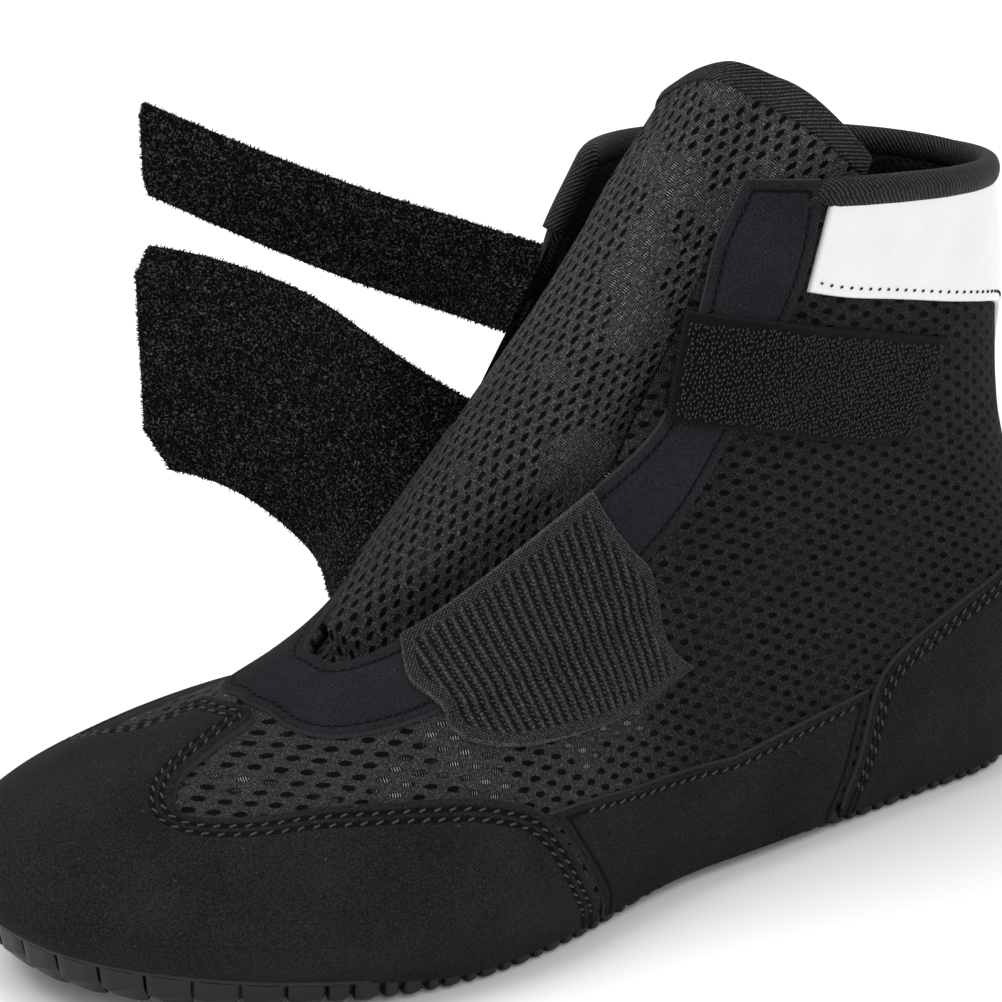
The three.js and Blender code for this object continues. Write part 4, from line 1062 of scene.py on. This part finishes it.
def tongueHeight(turn, ring):
    gap = 0.45
    base = throatEdge[0][1]
    underWall = -(last["upperWall"] + 2 * gap)
    rollDrop = 0.5 * (rollLook["thickness"] - last["upperWall"]) - gap
    nearRoll = np.maximum(smooth(ring, 7.2, 7.6), smooth(turn, 1, 1.1) * smooth(ring, 5.9, 6.2))
    overCollar = smooth(ring, 7.75, 8.5)
    held = np.minimum(ring, last["collarRing"])
    edge = turnAtRing(throatEdge, held)
    inside = np.where(held < base, -1.0, 1 - edge - np.abs(turn - 1)) - np.where((turn > 1) & (ring > 6), 0.07, 0)
    rise = smooth(inside, 0.02, 0.12)
    low = underWall - rollDrop * nearRoll
    lean = tongueLook["lean"] * smooth(turn, 0.82, 1.14) * smooth(ring, base + 0.1, base + 1.2)
    bulge = tongueLook["bulge"]
    return np.minimum(mixed(low, bulge, rise) - 1.5 * overCollar * rise, bulge) - lean


# Soft lengthwise channels and cross folds of the tongue: across and along are shares, depth millimetres.
tongueFolds = (
    {"across": (0.42, 0.5), "along": (0.1, 0.75), "width": 0.07, "depth": 1.3},
    {"across": (0.6, 0.62), "along": (0.15, 0.6), "width": 0.05, "depth": 1.0},
    {"across": (-0.3, -0.42), "along": (0.2, 0.95), "width": 0.06, "depth": 0.8},
    {"across": (0.02, -0.05), "along": (0.25, 0.9), "width": 0.09, "depth": 0.5},
)


def tongueFoldHeight(across, along):
    height = np.zeros(across.shape)
    for fold in tongueFolds:
        start, end = fold["along"]
        part = np.clip((along - start) / (end - start), 0, 1)
        middle = mixed(fold["across"][0], fold["across"][1], part)
        fade = np.sin(np.pi * np.clip((along - start) / (end - start), 0, 1))
        height -= fold["depth"] * fade * np.exp(-(((across - middle) / fold["width"]) ** 2))
    return height


# The binding is narrower on the medial side: where its lower edge lies along the tongue.
def bindingEdge(across):
    narrow, wide = tongueLook["bindingWidth"]
    return 1 - mixed(narrow, wide, smooth(across, -0.5, 0.35)) / tongueLook["length"]


def tonguePart(name, binding, columns, proud, finishes, node):
    share = crowded(tongueLook["rows"], 0.7)
    u, local = np.meshgrid(share, crowded(columns, 0.5 if binding else 0.2), indexing="ij")
    across = 2 * u - 1
    start, stop = (bindingEdge(across), 1) if binding else (0, bindingEdge(across) + 0.004)
    v = mixed(start, stop, local)
    turn, ring = tonguePlace(across, v)
    ring = np.minimum(ring, topRing)
    depth = mixed(tongueLook["thickness"], 0.45 * tongueLook["thickness"], smooth(np.abs(across), 0.5, 1))
    height = tongueHeight(turn, ring) + tongueFoldHeight(across, v)
    sideRound = np.sqrt(np.clip(1 - (1 - np.clip((1 - np.abs(across)) / 0.05, 0, 1)) ** 2, 0, 1))
    if binding:
        ends = np.sqrt(np.clip(1 - (2 * local - 1) ** 8, 0, 1)) * 0.75 + 0.25
        middle = height - depth / 2
        half = (depth / 2 + proud) * ends
        outer = lastPoint(turn, ring) + lastNormal(turn, ring) * (middle + half * mixed(0.3, 1, sideRound))[..., None]
        inner = lastPoint(turn, ring) + lastNormal(turn, ring) * (middle - half * mixed(0.3, 1, sideRound))[..., None]
    else:
        middle = height - depth / 2
        half = depth / 2 * mixed(0.3, 1, sideRound)
        outer = lastPoint(turn, ring) + lastNormal(turn, ring) * (middle + half)[..., None]
        inner = lastPoint(turn, ring) + lastNormal(turn, ring) * (middle - half)[..., None]
    acrossSteps = np.concatenate([np.zeros((1, columns)), np.cumsum(
        np.linalg.norm(np.diff(outer, axis=0), axis=-1), 0)])
    alongSteps = np.concatenate([np.zeros((len(share), 1)), np.cumsum(
        np.linalg.norm(np.diff(outer, axis=1), axis=-1), 1)], axis=1)
    cloth = np.stack([alongSteps, acrossSteps - acrossSteps[len(share) // 2]], -1)
    return shell(name, outer, inner, cloth, finishes, [node])


tonguePad = tonguePart("tongue_mesh_pad", False, tongueLook["columns"], 0, [tongueMesh, liningMesh],
                       "tongue")
tonguePart("tongue_binding_tape", True, 22, tongueLook["bindingProud"], [bindingTwill],
           "tongue_binding")
print("tongue made")

# Hook patches: woven ground, selvedge and standing hooks.
patchLook = {"thickness": 1.3, "rounding": 0.8, "suede": 1.5}
lowerPatch = {
    "front": ((0.885, 5.06), (0.82, 4.72), (0.745, 4.36), (0.685, 3.82), (0.632, 3.38), (0.586, 3.17), (0.54, 3.04)),
    "back": ((0.736, 5.76), (0.7, 5.56), (0.66, 5.34), (0.622, 5.1), (0.575, 4.6), (0.53, 3.95), (0.498, 3.36)),
}
upperPatch = {
    "top": ((0.752, 7.06), (0.675, 6.98), (0.597, 6.87), (0.46, 6.58), (0.328, 6.24)),
    "bottom": ((0.69, 6.16), (0.63, 6.04), (0.572, 5.92), (0.47, 5.62), (0.35, 5.26)),
}
hookLook = {
    "height": 0.55, "radius": 0.15, "reach": 0.55, "inset": 3.0, "jitter": 0.12, "rowPitch": 2.2,
    "hookPitch": 1.05, "lean": 0.5, "ribs": (-0.08, 0.64, -0.77),
}
upperHookLook = {
    **hookLook, "rowPitch": 1.0, "hookPitch": 0.95, "jitter": 0.3, "inset": 1.6, "lean": 1.2, "ribs": (1.0, 0.0, 0.0),
}


def onFacing(turn, ring):
    rising = [p for p in facingEdge if p[1] > 4.18][3:]
    edge = turnAtRing(rising, ring)
    return smooth(turn, edge - 0.09, edge - 0.01)


def patchBase(turn, ring):
    return 0.15 + patchLook["suede"] * onFacing(turn, ring)


def patchPlace(near, far):
    nearPath, farPath = edgePath(near), edgePath(far)

    def place(along, across):
        a, b = nearPath(along), farPath(along)
        return mixed(a[0], b[0], across), mixed(a[1], b[1], across)

    return place


# Hooks stand on a patch in straight rows: each is a thin strand that rises and curls over.
def buildHooks(name, sheet, look):
    turn, ring, edge = (sheet[key].ravel() for key in ("turn", "ring", "edge"))
    surface = skin(turn, ring, sheet["height"].ravel())
    normals = lastNormal(turn, ring)
    axes = ribAxes(turn, ring, look["ribs"])
    flat = surface @ axes
    low, high = flat.min(0), flat.max(0)
    rows = np.arange(np.ceil(low[1] / look["rowPitch"]), high[1] / look["rowPitch"])
    places = np.arange(np.ceil(low[0] / look["hookPitch"]), high[0] / look["hookPitch"])
    row, place = (a.ravel() for a in np.meshgrid(rows, places, indexing="ij"))
    jitter = randomDraws.uniform(-1, 1, (len(row), 4)) * look["jitter"]
    at = np.stack([(place + 0.5 * (row % 2) + jitter[:, 0]) * look["hookPitch"],
                   (row + 0.5 + jitter[:, 1]) * look["rowPitch"]], -1)
    gaps = [((flat[:, :2] - spot) ** 2).sum(-1) for spot in at]
    nearest = np.array([gap.argmin() for gap in gaps])
    inside = np.array([gap.min() for gap in gaps]) < 0.5
    kept = inside & (edge[nearest] > look["inset"])
    at, nearest, jitter = at[kept], nearest[kept], jitter[kept]
    normal = normals[nearest]
    spot = at @ axes[:, :2].T
    climb = ((surface[nearest] - spot) * normal).sum(-1) / (normal @ axes[:, 2])
    foot = spot + climb[:, None] * axes[:, 2]
    heading = look["lean"] + jitter[:, 2] * 2
    way = axes[:, 0] * np.cos(heading)[:, None] + axes[:, 1] * np.sin(heading)[:, None]
    aside = unit(np.cross(normal, way))
    lead = np.cross(aside, normal)
    tall = look["height"] * (1 + jitter[:, 3])
    rings = []
    for part in np.linspace(0, 1, 6):
        turned = math.pi * 1.15 * part
        centre = foot + lead * look["reach"] * 0.5 * (1 - math.cos(turned))
        centre = centre + normal * (tall * math.sin(min(turned, math.pi)) - 0.1)[:, None]
        outward = np.cross(aside, unit(normal * math.cos(turned) + lead * math.sin(turned)))
        for angle in np.arange(4) * math.pi / 2:
            rings.append(centre + (aside * math.cos(angle) + outward * math.sin(angle)) * look["radius"])
    addTubes(name, np.stack(rings, 1), 4, hookNylon)


patchSheet = {**patchLook, "base": patchBase, "crowdAlong": 0.6, "ribs": hookLook["ribs"]}
lowerSheet = panel("hook_tape_lower", patchPlace(lowerPatch["front"], lowerPatch["back"]), (121, 90), patchSheet,
                   [tapeGround], ["hook_patch_lower"])
upperSheet = panel("hook_tape_upper", patchPlace(upperPatch["bottom"], upperPatch["top"]), (141, 60),
                   {**patchSheet, "ribs": upperHookLook["ribs"]}, [upperGround], ["hook_patch_upper"])
buildHooks("hooks_lower", lowerSheet, hookLook)
buildHooks("hooks_upper", upperSheet, upperHookLook)
print("hook patches made")

# Straps of loop tape, sewn on the medial side and held open.
strapLooks = {
    "strap_upper": {
        "root": (1.36, 6.6), "sewn": 0.12, "width": 22, "reach": 94, "heading": 50, "rise": 28, "bow": 4,
        "droop": 4, "thickness": 2.2, "clipLow": 1.0, "clipHigh": 1.0,
    },
    "strap_lower": {
        "root": (1.31, 5.08), "sewn": 0.12, "width": 54, "reach": 66, "heading": 58, "rise": 31, "bow": 4,
        "droop": -7, "thickness": 2.2, "clipLow": 6.0, "clipHigh": 3.0,
    },
}

# The free ends of the straps are held upright.
strapEndUp = unit(np.array([0.08, 0.11, 0.99]))


def buildStrap(name, look):
    rootTurn, rootRing = look["root"]
    lift = 2.3
    angle = math.radians(look["heading"])
    away = np.array([math.cos(angle), -math.sin(angle), 0.0])
    sideways = np.array([math.sin(angle), math.cos(angle), 0.0])
    run = away * look["reach"] + np.array([0, 0, look["rise"]])
    acrossFree = unit(np.cross(run, sideways))
    start = skin(np.array(rootTurn), np.array(rootRing), np.array(lift))
    share = crowded(61, 0.8)
    offset = (share - 0.5) * look["width"]
    ring = ringBelow(rootTurn, rootRing, -offset)
    lines = [skin(np.full(len(share), rootTurn + look["sewn"] * back), ring, np.full(len(share), lift))
             for back in (1, 0.75, 0.5, 0.25, 0)]
    for part in (0.25, 0.5, 0.75, 1):
        sag = math.sin(math.pi * part)
        centre = start + run * part - sideways * look["bow"] * sag - np.array([0, 0, look["droop"] * sag])
        across = unit(mixed(acrossFree, strapEndUp, float(smooth(part, 0, 1))))
        lines.append(centre + across * offset[:, None])
    knots = np.array(lines)
    clip = look["clipLow"] * np.clip(1 - share / 0.16, 0, 1) + look["clipHigh"] * np.clip(1 - (1 - share) / 0.14, 0, 1)
    reach = len(knots) - 1 - clip / look["reach"] * 4
    face = np.stack([np.stack([catmull(knots[:, j, k], crowded(181, 0.4) * reach[j]) for k in range(3)], -1)
                     for j in range(len(share))], 1)
    along = np.gradient(face, axis=0)
    across = np.gradient(face, axis=1)
    out = unit(np.cross(along, across))
    edge = distanceTo(face, [face[:, 0], face[:, -1], face[-1]])
    profile = np.sqrt(np.clip(1 - (1 - np.clip(edge / 1.1, 0, 1)) ** 2, 0, 1))
    half = look["thickness"] / 2 * (0.25 + 0.75 * profile)
    middle = face + out * look["thickness"] / 2
    lengths = np.concatenate([np.zeros((1, len(share))), np.cumsum(np.linalg.norm(np.diff(face, axis=0), axis=-1), 0)])
    cloth = np.stack([lengths, np.broadcast_to(offset, lengths.shape)], -1)
    shell(f"{name}_pile", middle + out * half[..., None], middle - out * half[..., None], cloth, [pile, pile],
          [name], edge)
    borders = [(face[90:, 0], face[90:, 0] - face[90:, 2], out[90:, 0]),
               (face[90:, -1], face[90:, -1] - face[90:, -3], out[90:, -1]),
               (face[-1], face[-1] - face[-3], out[-1])]
    buildCurls(f"{name}_curls", borders, look["thickness"] / 2)


# Short curls of pile that stand out from the free edges of a strap.
curlLook = {"pitch": 0.14, "reach": 0.7, "radius": 0.12, "steps": 5, "sides": 4}


def buildCurls(name, borders, halfThick):
    tubes = []
    for line, outward, normal in borders:
        lengths = np.concatenate([[0], np.cumsum(np.linalg.norm(np.diff(line, axis=0), axis=-1))])
        count = int(lengths[-1] / curlLook["pitch"])
        at = randomDraws.uniform(0, lengths[-1], count)
        base, out, up = (np.stack([np.interp(at, lengths, table[:, k]) for k in range(3)], -1)
                         for table in (line, outward, normal))
        out, up = unit(out), unit(up)
        beside = np.cross(out, up)
        drawn = randomDraws.uniform(-1, 1, (count, 4))
        reach = curlLook["reach"] * (0.65 + 0.35 * drawn[:, 0])
        base = base + up * (halfThick * (1 + 0.7 * drawn[:, 1]))[:, None] - out * 0.4
        rings = []
        for part in np.linspace(0, 1, curlLook["steps"]):
            centre = base + out * (reach * math.sin(part * 2.0) + 0.3 * part)[:, None]
            centre = centre + beside * (drawn[:, 2] * reach * part)[:, None] + up * (drawn[:, 3] * 0.5 * part)[:, None]
            radius = curlLook["radius"] * (1 - 0.4 * part)
            for angle in np.arange(curlLook["sides"]) * 2 * math.pi / curlLook["sides"]:
                rings.append(centre + (up * math.cos(angle) + beside * math.sin(angle)) * radius)
        tubes.append(np.stack(rings, 1))
    addTubes(name, np.concatenate(tubes), curlLook["sides"], pileCurls)


for name, look in strapLooks.items():
    buildStrap(name, look)
print("straps made")

# Outsole: a thin rubber shell with slanted side lugs at the toe and heel, and tread blocks beneath.
soleLook = {
    "turns": 400, "lugPitch": 9.5, "smallPitch": 5.2, "lugGap": 0.9, "lugDepth": 8, "lipHeight": 0.5, "lipOut": 0.9,
    "blockPitch": 9.0, "blockGap": 2.2, "treadDepth": 1.6, "edgeInset": 2.4,
}


def soleTop(share):
    return last["soleThickness"] + toeRise(share) + rubberWrap(share)


def soleBottom(share):
    arch = smooth(share, 0.24, 0.36) * (1 - smooth(share, 0.46, 0.58))
    return toeRise(share) + last["archLift"] * arch


def solePoint(turn, inset, heightAt):
    edge = lastPoint(turn, 0)
    out = lastNormal(turn, 0) * np.array([1, 1, 0])
    edge = edge - unit(out) * np.asarray(inset, float)[..., None]
    edge[..., 2] = heightAt(edge[..., 0] / last["soleLength"])
    return edge


# A slab with the sole's outline at each level, from the bottom up, closed across at both ends. A level has
# its inset along the middle and heel, its inset at the toe and its height.
def slabMesh(name, levels, turns, finish, replaces=()):
    turn = 2 * np.arange(turns) / turns
    toe = toeShare(turn, 0)
    rings = [solePoint(turn, mixed(inset, toeInset, toe), heightAt) for inset, toeInset, heightAt in levels]
    points = np.concatenate(rings)
    i = np.arange(turns)
    faces = [np.stack([k * turns + i, (k + 1) * turns + i, (k + 1) * turns + (i + 1) % turns,
                       k * turns + (i + 1) % turns], 1) for k in range(len(levels) - 1)]
    faces = np.concatenate(faces)
    j = np.arange(1, turns // 2 - 1)
    top = (len(levels) - 1) * turns
    lid = np.stack([j, j + 1, turns - j - 1, turns - j], 1)
    turned = facesOut(points, faces)
    flip = turned is not faces
    bottomLid, topLid = (lid, top + lid[:, ::-1]) if not flip else (lid[:, ::-1], top + lid)
    tips = []
    for base, reverse in ((0, flip), (top, not flip)):
        for tip in ((0, 1, turns - 1), (turns // 2, turns // 2 + 1, turns // 2 - 1)):
            corner = [base + k for k in tip]
            tips.append(corner[::-1] if reverse else corner)
    allFaces = turned.tolist() + bottomLid.tolist() + topLid.tolist() + tips
    return addPiece(name, points, allFaces, [finish], replaces)


def buildSole():
    depth = soleLook["treadDepth"]
    out, low = soleLook["lipOut"], soleLook["edgeInset"]
    levels = [
        (low + 1.4, low + 1.4, lambda s: soleBottom(s) + depth),
        (low * 0.5, low * 1.5, lambda s: mixed(soleBottom(s), soleTop(s), 0.35)),
        (0.5, low, lambda s: mixed(soleBottom(s), soleTop(s), 0.72)),
        (0.5, -out * 0.8, lambda s: soleTop(s) - 0.5),
        (0.5, -out, lambda s: soleTop(s) - 0.1),
        (0.6, -out + 0.15, lambda s: soleTop(s) + soleLook["lipHeight"]),
        (0.8, -out + 0.9, lambda s: soleTop(s) + soleLook["lipHeight"] + 0.1),
        (1.2, 0.6, lambda s: soleTop(s) - 0.4),
    ]
    slabMesh("outsole_shell", levels, soleLook["turns"], soleRubber, ["outsole"])


# Side lugs: t runs along a lug, from the end that lies higher to the end that reaches the floor.
def buildLugs():
    turns = np.linspace(0, 2, 2401)
    outline = solePoint(turns, np.zeros(len(turns)), soleBottom)
    lengths = np.concatenate([[0], np.cumsum(np.linalg.norm(np.diff(outline, axis=0), axis=-1))])
    points, faces = [], []
    steps = np.linspace(0, 1, 9)
    at = 0.0
    number = 0
    while at < lengths[-1] - 4:
        turn = np.interp(at, lengths, turns)
        share = np.interp(at, lengths, outline[:, 0]) / last["soleLength"]
        toe = smooth(share, 0.72, 0.86)
        pitch = mixed(soleLook["smallPitch"], soleLook["lugPitch"], toe)
        if number % 2 and share < 0.8:
            pitch *= 0.72
        number += 1
        start = at
        at += pitch
        lateral = turn < 1
        reach = pitch - soleLook["lugGap"] * mixed(1.7, 0.8, toe)
        t = steps if not lateral else 1 - steps
        where = np.interp(start + reach * steps, lengths, turns)
        lowRise = mixed(0.5, 2.3, toe) * (1 - t) ** 1.4
        under = 2.6 * t * mixed(0.5, 1, toe)
        tall = soleTop(share) - soleBottom(share)
        corner = np.array([0.9, 0.3, 0, 0, 0, 0, 0, 0.3, 0.9])
        first = len(points)
        sections = [
            (1.0 + under + corner, lambda s: soleBottom(s) + lowRise),
            (0.25 + corner * 0.6, lambda s: soleBottom(s) + lowRise + 0.3 + t * 0.45 * tall * mixed(0.5, 1, toe)),
            (mixed(0.2, -0.55, toe) + corner * 0.5, lambda s: soleTop(s) - 0.75),
        ]
        for inset, heightAt in sections:
            points.extend(solePoint(where, inset, heightAt))
            inner = solePoint(where, np.full(len(where), soleLook["lugDepth"]), heightAt)
            points.extend(inner[::-1])
        around = 2 * len(steps)
        for level in range(len(sections) - 1):
            for k in range(around):
                a, b = first + level * around + k, first + level * around + (k + 1) % around
                faces.append((a, b, b + around, a + around))
        for level, turnedOver in ((0, True), (len(sections) - 1, False)):
            for k in range(len(steps) - 1):
                base = first + level * around
                quad = (base + k, base + k + 1, base + around - 2 - k, base + around - 1 - k)
                faces.append(quad[::-1] if turnedOver else quad)
    faceArray = np.array(faces)
    pointArray = np.array(points)
    addPiece("outsole_lugs", pointArray, facesOut(pointArray, faceArray), [soleRubber], sharp=True)


def buildTread():
    pitch, gap = soleLook["blockPitch"], soleLook["blockGap"]
    length = last["soleLength"]
    outlineTurns = np.linspace(0, 1, 400)
    lateral = solePoint(outlineTurns, np.full(400, 10.5), soleBottom)
    medial = solePoint(2 - outlineTurns, np.full(400, 10.5), soleBottom)
    points, faces = [], []
    rows = np.arange(0.05 * length, 0.93 * length, pitch)
    for r, x in enumerate(rows):
        share = (x + pitch / 2) / length
        if 0.27 < share < 0.5:
            continue
        x0, x1 = x, x + pitch - gap
        high = min(np.interp(x0, lateral[:, 0], lateral[:, 1]), np.interp(x1, lateral[:, 0], lateral[:, 1]))
        low = max(np.interp(x0, medial[:, 0], medial[:, 1]), np.interp(x1, medial[:, 0], medial[:, 1]))
        count = max(1, round((high - low) / (1.5 * pitch)))
        width = (high - low) / count
        for k in range(count):
            y0, y1 = low + k * width, low + (k + 1) * width - gap
            slant = 1.6 if k % 2 else -1.6
            first = len(points)
            for inset, lift in ((0.35, 0.0), (0.0, 0.35), (0.0, soleLook["treadDepth"] + 0.4)):
                for px, py in ((x0 + inset + slant, y0 + inset), (x1 - inset + slant, y0 + inset),
                               (x1 - inset - slant, y1 - inset), (x0 + inset - slant, y1 - inset)):
                    points.append((px, py, float(soleBottom(px / length)) + lift))
            for level in range(2):
                for c in range(4):
                    a, b = first + level * 4 + c, first + level * 4 + (c + 1) % 4
                    faces.append((a, b, b + 4, a + 4))
            faces.append((first + 3, first + 2, first + 1, first))
            faces.append(tuple(first + 8 + c for c in range(4)))
    pointArray = np.array(points)
    addPiece("outsole_tread", pointArray, facesOut(pointArray, np.array(faces)), [soleRubber],
             sharp=True)


buildSole()
buildLugs()
buildTread()
print("outsole made")

# Footbed inside, dished a little, with a rolled rim.
insoleLook = {"inset": 2.8, "thickness": 3.0}


def buildInsole():
    under = lambda s: last["soleThickness"] + toeRise(s) + rubberWrap(s)
    inset, thick = insoleLook["inset"], insoleLook["thickness"]
    levels = [
        (inset, inset, under), (inset, inset, lambda s: under(s) + thick * 0.8),
        (inset + 0.8, inset + 0.8, lambda s: under(s) + thick),
        (inset + 4, inset + 4, lambda s: under(s) + thick * 0.95),
        (inset + 12, inset + 12, lambda s: under(s) + thick * 0.8),
    ]
    slabMesh("insole_footbed", levels, 240, footbedCloth, ["insole"])


buildInsole()
print("insole made")

# Floor, light and camera. The camera keeps the photograph's angle.
viewLook = {
    "swing": 37.6, "elevation": 21.0, "distance": 780, "target": (100.64, 0, 60), "pixelsPerMm": 4.62,
    "middle": (544, 593), "frame": 1002,
}


def buildStage():
    mesh = bpy.data.meshes.new("floor")
    reach = 6.0
    mesh.from_pydata([(-reach, -reach, 0), (reach, -reach, 0), (reach, reach, 0), (-reach, reach, 0)], [],
                     [(0, 1, 2, 3)])
    floor = bpy.data.objects.new("floor", mesh)
    bpy.context.scene.collection.objects.link(floor)
    finish = Finish("floor_white")
    floor.data.materials.append(finish.set(colour=(0.96, 0.96, 0.96), roughness=0.6, specular=0.2))


def addSun(name, toward, strength, softness):
    light = bpy.data.lights.new(name, "SUN")
    light.energy = strength
    light.angle = math.radians(softness)
    lamp = bpy.data.objects.new(name, light)
    bpy.context.scene.collection.objects.link(lamp)
    lamp.location = Vector(toward)
    lamp.rotation_euler = Vector(toward).to_track_quat("Z", "Y").to_euler()


def buildLight():
    scene = bpy.context.scene
    scene.world = bpy.data.worlds.new("studio")
    scene.world.use_nodes = True
    background = scene.world.node_tree.nodes["Background"]
    background.inputs["Color"].default_value = (1, 1, 1, 1)
    background.inputs["Strength"].default_value = 0.8
    scene.view_settings.view_transform = "Standard"
    addSun("key", (0.5, -0.3, 1.3), 1.5, 40)
    addSun("fill", (0.2, 1.0, 0.9), 0.6, 50)


def buildCamera():
    swing, lift = math.radians(viewLook["swing"]), math.radians(viewLook["elevation"])
    back = Vector((math.sin(swing) * math.cos(lift), math.cos(swing) * math.cos(lift), math.sin(lift)))
    target = Vector(viewLook["target"]) * mm
    data = bpy.data.cameras.new("camera")
    camera = bpy.data.objects.new("camera", data)
    bpy.context.scene.collection.objects.link(camera)
    camera.location = target + back * viewLook["distance"] * mm
    camera.rotation_euler = (-back).to_track_quat("-Z", "Y").to_euler()
    size = viewLook["frame"]
    data.sensor_width = 36
    data.lens = viewLook["pixelsPerMm"] * viewLook["distance"] / size * data.sensor_width
    data.shift_x = (size / 2 - viewLook["middle"][0]) / size
    data.shift_y = (viewLook["middle"][1] - size / 2) / size
    data.clip_start = 0.01
    bpy.context.scene.camera = camera


buildStage()
buildLight()
buildCamera()
print("stage made")
